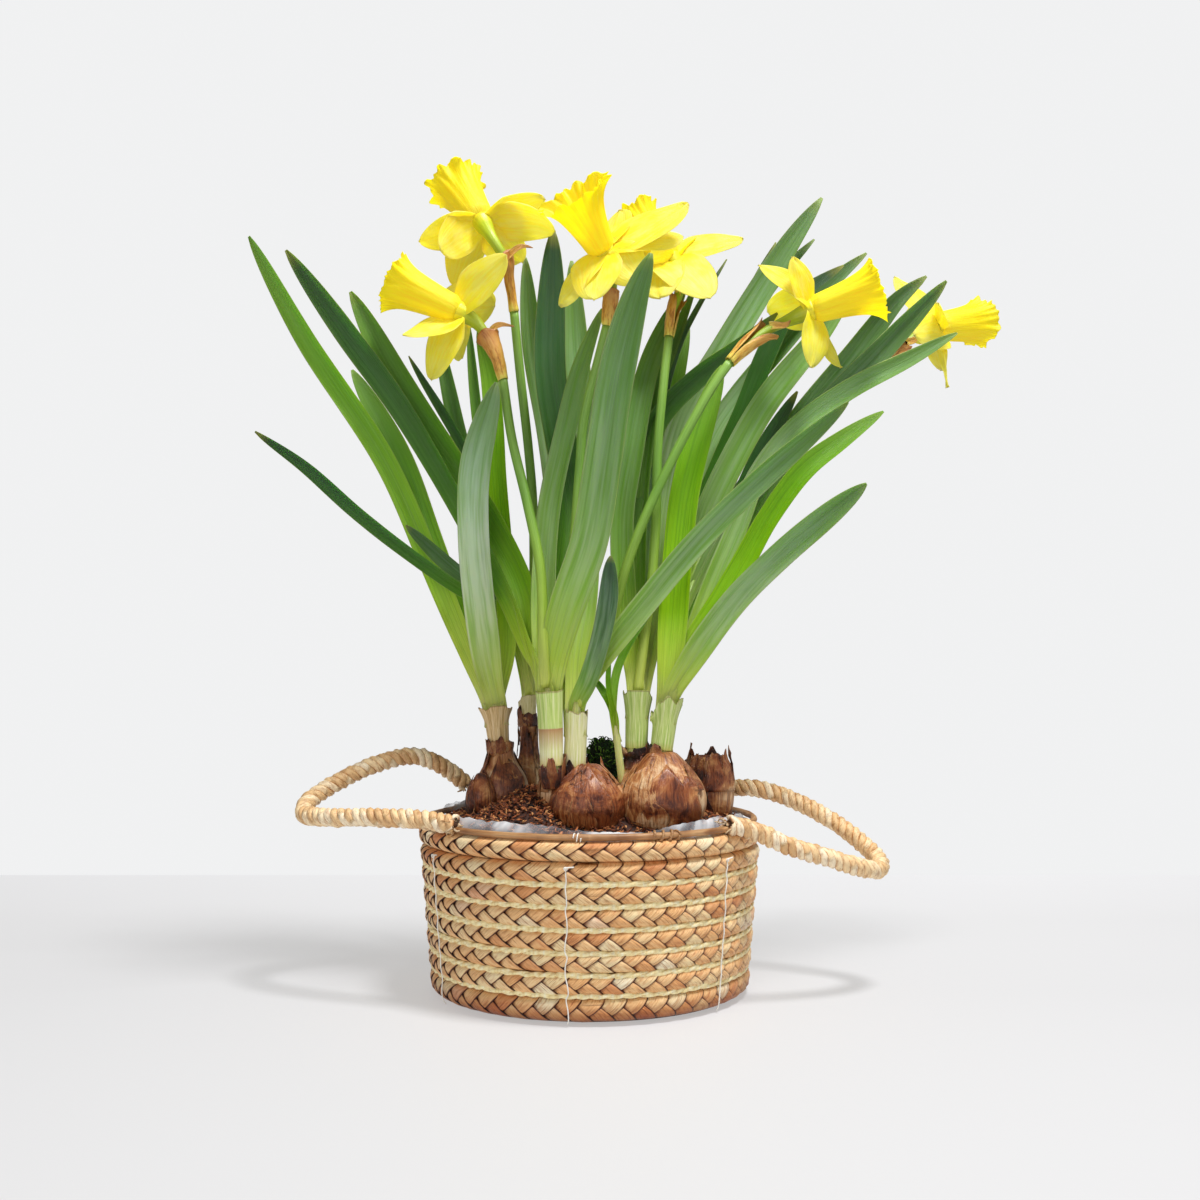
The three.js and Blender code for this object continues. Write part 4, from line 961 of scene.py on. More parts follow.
# Painted light and shade along each bulb: lighter round its middle and darker at its foot; the darker neck is
# the tunic's own colour.
lit = sum_up(tree, "ADD", tone, mark_of(tree, "worn"))
shifted = sum_up(tree, "ADD", lit, sum_up(tree, "MULTIPLY", sum_up(tree, "SUBTRACT", patch, 0.5), 2.4))
brown = ramp(
    tree, shifted, (0, 38, 14, 5), (0.2, 90, 38, 16), (0.45, 158, 90, 48), (0.7, 208, 150, 94),
    (1, 242, 210, 166),
)
mixed = stain(tree, 0.75, brown, ramp(tree, streak, (0.35, 84, 38, 18), (0.45, 226, 190, 160), (0.54, 1)))
rims = ramp(tree, edge_share(tree), (0.46, 0), (0.5, 0.4))
height = sum_up(tree, "ADD", streak, sum_up(tree, "MULTIPLY", patch, 1.5))
paint(tree, blend(tree, rims, mixed, shade(206, 160, 112)), height, 0.0011)


def seen(point):
    """The place whose picture falls on a spot: x across, z up and y the depth behind the axis."""
    x, z, y = point
    reach = (EYE_DISTANCE + y) / EYE_DISTANCE
    return Vector((EYE_SIDE + (x - EYE_SIDE) * reach, y, EYE_HEIGHT + (z - EYE_HEIGHT) * reach))


def circle(turn):
    """A level direction."""
    return Vector((cos(turn), sin(turn), 0))


def lobe_skin(bm, lobe):
    """The body of one lobe, turned from its profile, lumpy and ribbed."""
    x, z, y, radius, height, shape, tone = lobe
    centre = seen((x, z, y))
    points = [(across * radius, up * height, 0) for across, up in shape]
    if points[-1][0] > 0:
        points.append((0, points[-1][1], 0))
    profile = smooth_route(points, LOBE_STEPS)

    def place(u, v):
        around = circle(tau * u)
        spot = profile[round(v * LOBE_STEPS)]
        lump = noise.noise(around * 1.2 + Vector((x, z, v * 2)))
        rib = noise.noise(around * 6 + Vector((x, 3, v * 0.8)))
        fine = noise.noise(around * 14 + Vector((x, 9, z + v * 1.5)))
        reach = spot.x * (1 + 0.06 * lump + 0.05 * rib + 0.025 * fine) - TUNIC_INSET
        return centre + around * max(0, reach) + Vector((0, 0, spot.y))

    # Painted light and shade: lighter round the middle, darker at the foot, and darker towards the neck for
    # the tunic's darker shoulders.
    def worn(u, v):
        return 0.2 * sin(pi * min(1, v * 1.25)) - 0.7 * max(0, v - 0.7) - 0.5 * max(0, 0.3 - v)

    skin(bm, LOBE_SIDES, LOBE_STEPS, place, tone=tone, worn=worn)


def rag_skin(bm, surface, angle, low, high, wide, curl, seed, tone):
    """A torn piece of dry tunic lying on a surface(angle, level, out), its top edge ragged."""

    def place(u, v):
        side = cos(tau * u)
        torn = 0.3 * rough(seed, side * 1.4, 0) + 0.1 * rough(seed, side * 4, 5)
        level = low + (high - low) * v * (1 - 0.3 * abs(side) ** 3 + torn)
        spot = angle + wide * side * (1 - 0.25 * v * v + 0.35 * rough(v * 2, seed, side))
        crinkle = 0.35 * rough(side * 4, v * 3, seed) + 0.15 * rough(side * 12, v * 4, seed)
        lips = 0.5 * abs(side) ** 6 * rough(v * 4, side, seed)
        bowed = 0.5 + 1.6 * rough(side * 1.7, 1, seed)
        return surface(spot, level, 0.25 + 0.15 * sin(tau * u) + curl * v ** 3 * bowed + crinkle + lips)

    # The rags are a touch darker on the same mark of painted light and shade and neck tint.
    skin(bm, 20, 12, place, tone=tone, worn=-0.08)


def read_off(rows, place):
    """The value at a place, in a line through rows of a value and its place."""
    for (one, low), (two, high) in zip(rows, rows[1:]):
        if low <= place <= high and low < high:
            return one + (two - one) * (place - low) / (high - low)


def lobe_surface(lobe):
    """The outside of a lobe, for pieces of tunic that lie on it."""
    x, z, y, radius, height, shape, _ = lobe
    centre = seen((x, z, y))

    def surface(angle, level, out):
        reach = radius * (read_off(shape, kept(level)) + 0.03) + out
        return centre + circle(angle) * reach + Vector((0, 0, level * height))

    return surface


def collar_surface(shoot, radius):
    """A sleeve round a shoot's core, for the torn collar at its foot."""
    foot, top = (seen(point) for point in CORES[shoot][:2])
    axis = top - foot
    aside = axis.cross(Vector((0, 1, 0))).normalized()
    ahead = axis.normalized().cross(aside)

    def surface(angle, level, out):
        return foot + axis * level + wheel(aside, ahead, angle) * (radius + out - 16 * max(0, 0.05 - level))

    return surface


for number, lobes in BULBS.items():
    bm = bmesh.new()
    draw = random.Random(number).uniform
    for lobe in lobes:
        lobe_skin(bm, lobe)
        surface = lobe_surface(lobe)
        tone = lobe[6]
        for _ in range(SHEETS):
            rag_skin(
                bm, surface, draw(0, tau), draw(0.0, 0.1), draw(0.88, 0.98), draw(0.45, 1.0), draw(0.0, 0.4),
                draw(0, 90), tone + draw(-0.2, 0.25),
            )
        for _ in range(FLAKES):
            low = draw(0.5, 0.78)
            rag_skin(
                bm, surface, draw(0, tau), low, min(0.93, low + draw(0.15, 0.4)), draw(0.1, 0.3),
                draw(0.0, 0.6), draw(0, 90), tone + draw(-0.25, 0.2),
            )
    for torn in range(TORN_EDGE if number == 5 else 0):
        rag_skin(
            bm, surface, tau * torn / TORN_EDGE, 0.55, draw(0.94, 1.12), draw(0.4, 0.75), draw(-2.0, 2.5),
            draw(0, 90), draw(0.1, 0.8),
        )
    for bulb, shoot, start, end, radius, count in COLLARS:
        for flake in range(count if bulb == number else 0):
            rag_skin(
                bm, collar_surface(shoot, radius), tau * flake / count + draw(-0.3, 0.3), start,
                end + draw(-0.12, 0.09), draw(0.35, 0.85), draw(-0.8, 1.2), draw(0, 90), draw(0.2, 0.8),
            )
    make_piece(f"tunic_{number}", bm, tunic, "bulb_skin", f"bulb_{number}")

# Moss
# A dark green tuft of curled fronds grown up from the compost between the two front bulbs.
MOSS_CENTRE = seen((8, 140, 20))
MOSS_SIZE = Vector((14.5, 13, 26))
MOSS_CORE = 0.82
FRONDS = 520
FROND_ROOT = 0.78
FROND_RADIUS = 0.55
moss, tree = finish("moss", Roughness=0.8)
patch = speckle(tree, Scale=300.0, Detail=3.0)
shade_of = sum_up(tree, "MULTIPLY", sum_up(tree, "ADD", patch, mark_of(tree, "tone")), 0.5)
green = ramp(
    tree, shade_of, (0.3, 14, 30, 10), (0.48, 48, 88, 26), (0.66, 110, 160, 54), (0.82, 170, 206, 96),
)
paint(tree, green, patch, 0.0006)


def moss_core(u, v):
    way = circle(tau * u) * sin(pi * v) - Vector((0, 0, cos(pi * v)))
    return MOSS_CENTRE + way * MOSS_SIZE * (MOSS_CORE + 0.12 * noise.noise(way * 3))


def frond(lot, index):
    """A curled frond of moss growing out of the tuft."""
    way = Vector((rng.gauss(0, 1), rng.gauss(0, 1), rng.gauss(0.3, 1))).normalized()
    base = MOSS_CENTRE + way * MOSS_SIZE * FROND_ROOT
    curl = any_way(rng, -1, 0.6)
    size = rng.uniform(2.2, 4.2)
    middle = base + way * size
    points = [base, middle, middle + (way * 0.3 + curl) * size * 0.6, middle + curl * size * 0.8]
    cord_skin(lot, points, lambda v: FROND_RADIUS * (1 - 0.6 * v), 4, 6, rng.random())


bm = bmesh.new()
skin(bm, 20, 14, moss_core, tone=0.1)
rng = random.Random(3)
in_batches(bm, FRONDS, frond)
make_piece("moss_fronds", bm, moss, "moss", "moss_tuft")

# Shoots
# From each bulb neck a core of leaf bases carries long strap leaves, channelled and veined along
# their length, and round green flower stalks. All of a shoot grows as one piece.
LEAF_THIN = 0.5
LEAF_RIB = 1.3
LEAF_FOLD = 0.22
LEAF_HUG = 0.16
LEAF_GRIP = 1.15
LEAF_SIDES = 20
LEAF_STEPS = 64
STALK_RADIUS = 3.1
LOOKING = Vector((0, 1, 0))
# A leaf is (width, turn at base, turn at tip, tone, wax and sheen, route). Its tone runs from
# fresh yellow-green, 0, to dark green, 1, and its wax and sheen, from 0 to 1, is the grey wax
# bloom on it together with a painted whitish sheen.
LEAVES = {
    1: [
        (16, 10, 25, 0.1, 0.1, (-63, 183, 6), (-77, 213, 14), (-104, 278, 27), (-133, 343, 34),
         (-184, 421, 38), (-222, 489, 34)),
        (17, -10, -20, 0.3, 0.1, (-62, 183, 8), (-76, 213, 22), (-103, 288, 42), (-123, 343, 54),
         (-155, 402, 62)),
        (20, 5, -25, 0.5, 1.2, (-61, 183, 3), (-67, 213, -13), (-76, 290, -30), (-75, 340, -34),
         (-61, 394, -36)),
        (14, 20, 15, 0, 0, (-61, 183, 6), (-54, 215, 6), (-54, 252, 8), (-60, 330, 22), (-65, 395, 32),
         (-73, 428, 38)),
    ],
    2: [
        (11, 40, 35, 0.95, 0.05, (-41, 192, 35), (-46, 222, 30), (-60, 247, 18), (-83, 259, 6),
         (-104, 273, -4), (-150, 308, -22), (-185, 339, -38), (-218, 362, -52)),
        (12, 20, 30, 0.8, 0.4, (-41, 192, 36), (-46, 228, 34), (-58, 250, 26), (-83, 268, 16),
         (-120, 301, 8)),
        (9, 30, 40, 0.9, 0.1, (-40, 192, 37), (-42, 226, 38), (-52, 278, 36), (-66, 320, 34), (-84, 355, 34),
         (-118, 411, 36)),
        (12, 10, 10, 0.7, 0.25, (-40, 192, 40), (-43, 215, 46), (-52, 252, 52), (-68, 304, 56),
         (-84, 355, 60), (-100, 428, 62)),
        (9, 35, 20, 0.5, 0.15, (-40, 192, 42), (-44, 225, 52), (-56, 285, 66), (-71, 356, 76),
         (-79, 433, 82)),
    ],
    3: [
        (17, 60, 10, 0.88, 0.05, (-29, 197, -50), (-39, 218, -42), (-52, 251, -22), (-65, 277, -8),
         (-88, 319, 0), (-124, 379, 0), (-160, 428, -6), (-198, 480, -14)),
        (19, 40, 0, 0.5, 0.05, (-29, 197, -49), (-36, 225, -40), (-44, 262, -22), (-65, 304, -2),
         (-88, 339, 8), (-124, 394, 6), (-156, 453, 2)),
        (23, 0, 20, 0.62, 0.45, (-26, 197, -52), (-17.5, 239, -62), (0, 291, -70), (9, 343, -76),
         (17, 395, -82), (29, 446, -88), (40, 478, -92)),
        (17, 15, 40, 0.4, 0.45, (-29, 197, -49), (-30, 240, -40), (-28, 290, -32), (-24, 322, -28),
         (-15, 362, -26), (-6, 400, -20), (8, 442, -14)),
        (21, 0, -10, 1, 0.1, (-26, 197, -47), (-19, 246, -32), (-11, 311, -14), (-19, 356, 0), (-26, 400, 8),
         (-25, 460, 14), (-24, 493, 16)),
    ],
    4: [
        (12.5, 20, 10, 1, 0.5, (-8, 184, -44), (-1, 200, -52), (7, 226, -60), (12, 252, -66),
         (13.5, 281, -70)),
        (15, 20, -35, 0.55, 0.5, (-8, 184, -42), (-1, 200, -44), (10, 217, -50), (39, 254, -60),
         (72, 293, -66), (111, 331, -68), (168, 381, -64)),
        (17, 0, 0, 0.5, 0.6, (-10, 184, -41), (-9, 213, -34), (-4, 250, -20), (-2, 300, 0), (-5, 356, 14),
         (-9, 421, 24), (-12, 473, 28)),
        (17, 10, 25, 0.55, 0.6, (-11, 184, -40), (-14, 215, -28), (-18, 265, -8), (-20, 310, 6),
         (-26, 360, 20), (-37, 421, 36), (-42, 475, 42)),
    ],
    5: [
        (5, 0, 20, 0.25, 0, (15, 180, -41), (8, 194, -34), (1, 203, -28)),
        (3.4, 0, 0, 0.25, 0, (15, 180, -41), (12, 196, -41), (12.6, 217, -40)),
        (5.5, 10, 30, 0.4, 0.1, (15, 180, -41), (17, 203, -40), (22, 217, -39), (34, 238, -38),
         (50, 262, -38)),
    ],
    6: [
        (15, 0, 15, 0.65, 0.25, (30, 193, -31), (24, 239, -24), (21, 304, -16), (27, 345, -10), (38, 402, 8),
         (50, 432, 18), (62, 454, 24)),
        (11, 15, 30, 0.6, 0.15, (31, 193, -28), (31, 260, -10), (34, 330, 0), (42, 384, 12), (54, 417, 24),
         (69, 458, 34)),
        (8, 50, 50, 0.9, 0.45, (32, 193, -28), (37, 290, 2), (45, 365, 14), (58, 417, 24), (72, 445, 30),
         (89, 474, 34)),
        (15, 0, 0, 0.35, 0, (31, 193, -26), (38, 270, 14), (46, 340, 34), (54, 390, 46), (64, 432, 54)),
        (15, 0, -30, 0.85, 0.1, (30, 193, -29), (22, 250, -16), (25, 304, -6), (34, 345, 4), (47, 374, 8),
         (72, 399, 10), (98, 418, 12), (122, 439, 14)),
        (19, 10, 15, 0.6, 0.6, (33, 193, -28), (42, 240, -6), (46, 291, 12), (52, 335, 28), (62, 372, 38),
         (88, 416, 48), (107, 447, 54), (130, 484, 58), (151, 514, 60)),
        (14, 20, 35, 0.6, 0.65, (32, 193, -26), (44, 270, 14), (54, 335, 38), (68, 381, 50), (96, 424, 60),
         (120, 459, 66), (146, 487, 70)),
        (9, 40, 30, 0.85, 0.1, (32, 193, -25), (44, 290, 30), (56, 350, 52), (72, 392, 62), (92, 424, 70),
         (108, 460, 74), (121, 485, 76)),
    ],
    7: [
        (19, 0, 20, 0.12, 0, (50, 189, -37), (53, 226, -36), (57, 278, -30), (62, 322, -22), (72, 362, -14),
         (86, 405, -8)),
        (17, 0, -20, 0.5, 0.6, (52, 189, -37), (65, 212, -42), (94, 252, -46), (123, 281, -48),
         (156, 309, -50), (180, 328, -50)),
        (16, 10, 40, 0.2, 0, (52, 189, -34), (65, 220, -36), (82, 246, -34), (100, 276, -30),
         (117, 306, -28), (140, 337, -28), (163, 355, -28), (191, 375, -28)),
        (14, 10, 20, 0.5, 0.45, (52, 189, -33), (66, 226, -26), (80, 262, -20), (96, 300, -14),
         (109, 332, -12), (133, 363, -12), (169, 389, -14), (208, 409, -16), (239, 426, -16)),
        (17, 10, 10, 0.8, 0.35, (51, 189, -31), (60, 226, -16), (76, 268, -2), (96, 308, 6), (116, 340, 10),
         (140, 373, 14), (170, 409, 16), (200, 447, 16), (219, 463, 14)),
        (17, 0, -15, 0.75, 0.4, (51, 189, -32), (62, 228, -20), (80, 270, -8), (104, 312, -2), (130, 350, 2),
         (166, 391, 4), (184, 409, 4), (203, 429, 4), (221, 448, 2), (232, 460, 0)),
        (14, 10, 35, 0.95, 0, (51, 189, -33), (62, 226, -22), (75, 256, -12), (88, 284, -6), (100, 320, -2),
         (114, 351, 0), (135, 388, 4)),
        (18, 0, 10, 0.35, 0.5, (51, 189, -31), (56, 226, -16), (64, 262, 0), (76, 306, 14), (94, 345, 24),
         (116, 383, 32), (146, 420, 38), (168, 448, 42)),
        (15, 20, 25, 0.95, 0, (51, 189, -29), (56, 230, -6), (66, 290, 18), (84, 337, 32), (101, 376, 40),
         (116, 414, 44), (134, 447, 48), (165, 470, 52)),
        (15, 0, 20, 0.7, 0.5, (50, 189, -28), (54, 240, 2), (62, 300, 28), (78, 356, 44), (96, 384, 50),
         (133, 428, 56), (158, 459, 60), (180, 478, 62)),
    ],
}
STALKS = {
    2: [
        [(-40, 190, 36), (-37, 239, 32), (-37, 311, 24), (-40, 350, 18), (-45, 395, 8), (-49.5, 440, 0)],
    ],
    3: [
        [(-29, 196, -51), (-30.5, 222, -58), (-31, 250, -57), (-32.5, 274, -53), (-41, 316, -41),
         (-51, 358, -28), (-56.6, 395.5, -22)],
        [(-26, 196, -49), (-20, 226, -46), (-12, 275, -40), (-7, 335, -36), (-4, 370, -36), (6, 411, -36),
         (11, 431, -36)],
    ],
    4: [
        [(-7, 183, -42), (2, 205, -42), (14, 239, -44), (24, 275, -46), (37, 309, -46), (62, 360, -40),
         (81, 393, -34), (91, 407, -30)],
    ],
    6: [
        [(31, 192, -31), (36, 232, -32), (40, 262, -30), (43, 304, -26), (44, 350, -20), (48, 395, -10),
         (51.4, 423.5, -2)],
    ],
    7: [
        [(51, 188, -33), (60, 240, -14), (80, 298, 20), (108, 340, 34), (150, 380, 38), (192, 408, 36)],
    ],
}
leaf, tree = finish(
    "strap_leaf", Subsurface_Weight=0.25, Subsurface_Scale=0.005, Specular_IOR_Level=0.26,
    Subsurface_Radius=(0.5, 1.0, 0.1),
)
streak, blotch, tone = fibre_nodes(tree, 30.0, 2.6)
along = mark_of(tree, "grown")
fresh = ramp(
    tree, along, (0, 240, 242, 160), (0.13, 200, 222, 84), (0.3, 148, 198, 14), (0.7, 124, 182, 8),
    (1, 126, 170, 66),
)
dusky = ramp(
    tree, along, (0, 238, 240, 140), (0.14, 170, 202, 44), (0.3, 92, 146, 4), (0.5, 46, 98, 8),
    (0.8, 40, 78, 42), (0.96, 44, 68, 48), (1, 140, 136, 66),
)
lines = ramp(tree, streak, (0.36, 176, 192, 150), (0.47, 232, 240, 214), (0.56, 1))
veined = stain(tree, 0.6, blend(tree, tone, fresh, dusky), lines)
# Grey wax bloom, partly painted sheen: whitish grey laid over each leaf in blotches, most on its lower
# middle.
wax_sheen_share = sum_up(tree, "MULTIPLY", mark_of(tree, "bloom"), ramp(tree, blotch, (0.34, 0.35), (0.64, 1)))
wax_sheen_share = sum_up(tree, "MULTIPLY", wax_sheen_share, ramp(tree, along, (0.05, 0.45), (0.34, 1), (0.62, 0.8), (0.9, 0.3)))
wax_sheen_colour = ramp(tree, along, (0.1, 214, 230, 140), (0.4, 192, 212, 170), (0.8, 176, 200, 176))
# Painted highlight: a pale line along each leaf's edges.
rims = ramp(tree, edge_share(tree), (0.48, 0), (0.498, 0.35))
paint(tree, blend(tree, rims, blend(tree, wax_sheen_share, veined, wax_sheen_colour), shade(196, 210, 130)), streak, 0.0006)
dress(tree, Roughness=ramp(tree, streak, (0.3, 0.46), (0.7, 0.32)))


def across_and_out(way, roll):
    """The two directions across a line: one along a leaf's width and one out of its face."""
    flat = LOOKING.cross(way).normalized()
    face = flat.cross(way).normalized()
    return wheel(flat, face, radians(roll)), wheel(face, -flat, radians(roll))


def leaf_outline(v):
    step = min(1, v / 0.3)
    tip = max(0, (v - 0.72) / 0.28)
    return (0.6 + 0.4 * step * step * (3 - 2 * step)) * max(0.02, 1 - tip ** 2.2) ** 0.56


def leaf_skin(bm, leaf_row, seed, start, top, core):
    width, turn_base, turn_tip, tone, bloom, *route = leaf_row
    line = smooth_route([start, *(seen(point) for point in route)], LEAF_STEPS)

    @cache
    def frame_at(v):
        step = round(v * LEAF_STEPS)
        roll = turn_base + (turn_tip - turn_base) * v + 12 * rough(seed, v * 3.0, 1) * v
        return line[step], *across_and_out(way_at(line, step), roll), 0.5 * width * leaf_outline(v)

    wrap = -1 if frame_at(0.0)[2].dot(frame_at(0.125)[0] - top) > 0 else 1

    def place(u, v):
        point, across, out, half = frame_at(v)
        side = cos(tau * u)
        hug = max(0, 1 - v / LEAF_HUG) ** 1.5
        half = half + (max(half, core * LEAF_GRIP) - half) * hug
        deep = LEAF_FOLD * half * (2 * abs(side) ** 1.7 - 1) * (1 - hug)
        deep += wrap * 0.55 * half * hug * side * side + 0.6 * rough(seed, v * 6, side * 1.2)
        thick = LEAF_THIN + (LEAF_RIB - LEAF_THIN) * (1 - abs(side)) * (1 - 0.6 * v) + 0.14 * cos(side * 16)
        return point + across * half * side + out * (deep + thick / 2 * puffed(tau * u))

    skin(bm, LEAF_SIDES, LEAF_STEPS, place, tone=tone, bloom=bloom, grown=lambda u, v: v)


for number, (foot, top, radius) in CORES.items():
    foot, top = seen(foot), seen(top)
    bm = bmesh.new()
    cord_skin(bm, [foot, foot.lerp(top, 0.5), top], lambda v: radius * (1 - 0.7 * v ** 3), 20, 16, 0.0)
    for index, leaf_row in enumerate(LEAVES[number]):
        leaf_skin(bm, leaf_row, number * 10 + index, foot.lerp(top, 0.55), top, radius)
    make_piece(f"leaves_{number}", bm, leaf, "leaf", f"shoot_{number}")

stem = fibrous(
    "flower_stalk", (12.0, 8.0), 0.0004, 1,
    [(0, 206, 216, 96), (0.25, 160, 192, 66), (0.6, 118, 164, 60), (1, 140, 182, 80)],
    [(0.3, 190, 200, 180), (0.6, 1)], 0.6, Roughness=0.4,
)
for number, stalks in STALKS.items():
    bm = bmesh.new()
    for stalk in stalks:
        cord_skin(bm, [seen(point) for point in stalk], lambda v: STALK_RADIUS * (1.06 - 0.12 * v), 14, 60)
    make_piece(f"stalks_{number}", bm, stem, "leaf", f"shoot_{number}")

# Sheaths
# Pale fleshy or papery sleeves round the foot of each shoot, ribbed and torn along the top.
SHEATH_WALL = 0.9
SHEATH_AROUND = 84
SHEATH_ALONG = 32
SHEATH_RIBS = 29
# A sheath is (shoot, from, to, radii, torn depth, tone, split). Its tone runs from dry brown, 0,
# to fresh cream-green, 1, and it is green above its split, which is 1 at the foot.
SHEATHS = [
    (1, 0.22, 0.95, (7.0, 7.8, 11.4), 4.0, 0.2, -1),
    (2, 0.3, 0.86, (5.9, 6.2, 6.4), 5.0, 0.6, -1),
    (3, 0.12, 0.92, (7.3, 7.8, 8.8), 2.0, 0.95, 0.5),
    (4, 0.14, 0.94, (7.2, 7.1, 7.2), 5.0, 0.95, -1),
    (6, 0.13, 0.97, (7.2, 7.5, 9.6), 12.0, 0.95, 1),
    (7, 0.16, 0.97, (7.2, 7.6, 10.0), 14.0, 0.95, 1),
]
sheath_skin, tree = finish("leaf_sheath", Roughness=0.5)
streak, blotch, tone = fibre_nodes(tree, 1.5, 64.0)
level = place_of(tree, 0)
beyond = sum_up(tree, "SUBTRACT", level, mark_of(tree, "split"))
dry = ramp(tree, streak, (0.32, 156, 104, 62), (0.46, 218, 172, 116), (0.6, 240, 206, 154))
moist = ramp(tree, streak, (0.36, 218, 222, 140), (0.48, 238, 238, 176), (0.62, 250, 249, 212))
grassy = ramp(tree, streak, (0.36, 158, 194, 84), (0.48, 198, 220, 122), (0.62, 226, 238, 168))
fleshy = blend(tree, ramp(tree, beyond, (0, 1), (0.01, 0)), moist, grassy)
fleshy = blend(tree, ramp(tree, beyond, (0, 0), (0.01, 0.9), (0.3, 0)), fleshy, shade(176, 118, 66))
ends = ramp(tree, level, (0, 150, 100, 60), (0.03, 1), (0.85, 1), (1, 244, 220, 170))
paint(tree, stain(tree, 0.8, blend(tree, tone, dry, fleshy), ends), streak, 0.0005)
for number, start, end, (low, middle, high), torn, tone, split in SHEATHS:
    foot, top = (seen(point) for point in CORES[number][:2])
    way = (top - foot).normalized()
    aside, ahead = across_and_out(way, 0)

    def sleeve(u, v):
        turn = tau * v
        part = (1 - cos(tau * u)) / 2
        around = circle(turn)
        tear = 0.4 + 0.4 * cos(turn + number * 1.3) + 0.12 * noise.noise(around * 7)
        tear += 0.7 * noise.noise(Vector((number, 0, 0)) + around * 1.6)
        reach = low + (middle - low) * min(1, 2 * part) + (high - middle) * max(0, 2 * part - 1) ** 1.5
        reach += 0.12 * cos(SHEATH_RIBS * turn + 2 * sin(turn * 2)) * (0.4 + part)
        reach += 0.5 * part * noise.noise(around * 2.5)
        reach -= SHEATH_WALL * (0.75 if sin(tau * u) < 0 else 0.25)
        point = foot.lerp(top, start + (end - start) * part) - way * max(0, torn * tear) * part ** 2
        return point + wheel(aside, ahead, turn) * reach

    bm = bmesh.new()
    skin(bm, SHEATH_ALONG, SHEATH_AROUND, sleeve, ring=True, tone=tone, split=split)
    make_piece(f"sheath_skin_{number}", bm, sheath_skin, "sheath", f"sheath_{number}")

# Flowers
# Six trumpet daffodils. Each has six lemon petals round a deep yellow frilled trumpet with six
# stamens and a style inside, a green tube and ovary on a bent neck, and a dry papery spathe.
PETAL_THIN = 0.45
PETAL_SIDES = 24
PETAL_STEPS = 30
PETAL_BEND = 15
PETAL_FULL = 0.627
PETAL_SEATS = (-0.7, -2.3)
TRUMPET_AROUND = 150
TRUMPET_ALONG = 36
TRUMPET_WALL = 0.7
TRUMPET_SEAT = -2.0
TRUMPET_SUNK = 2.6
STAMENS = 6
STYLE = (0.4, 0.72)
STYLE_RADIUS = 1.1
# A stamen's points: share of the trumpet's length, and way out from its axis.
STAMEN = ((0, 3.5), (0.3, 3.6), (0.56, 3.0))
NECK_STEPS = 60
NECK_RADIUS = 2.2
NECK_SWELL = 0.9
TUBE_SWELL = 4.2
HUSK_WRAP = 178
HUSK_THIN = 0.34
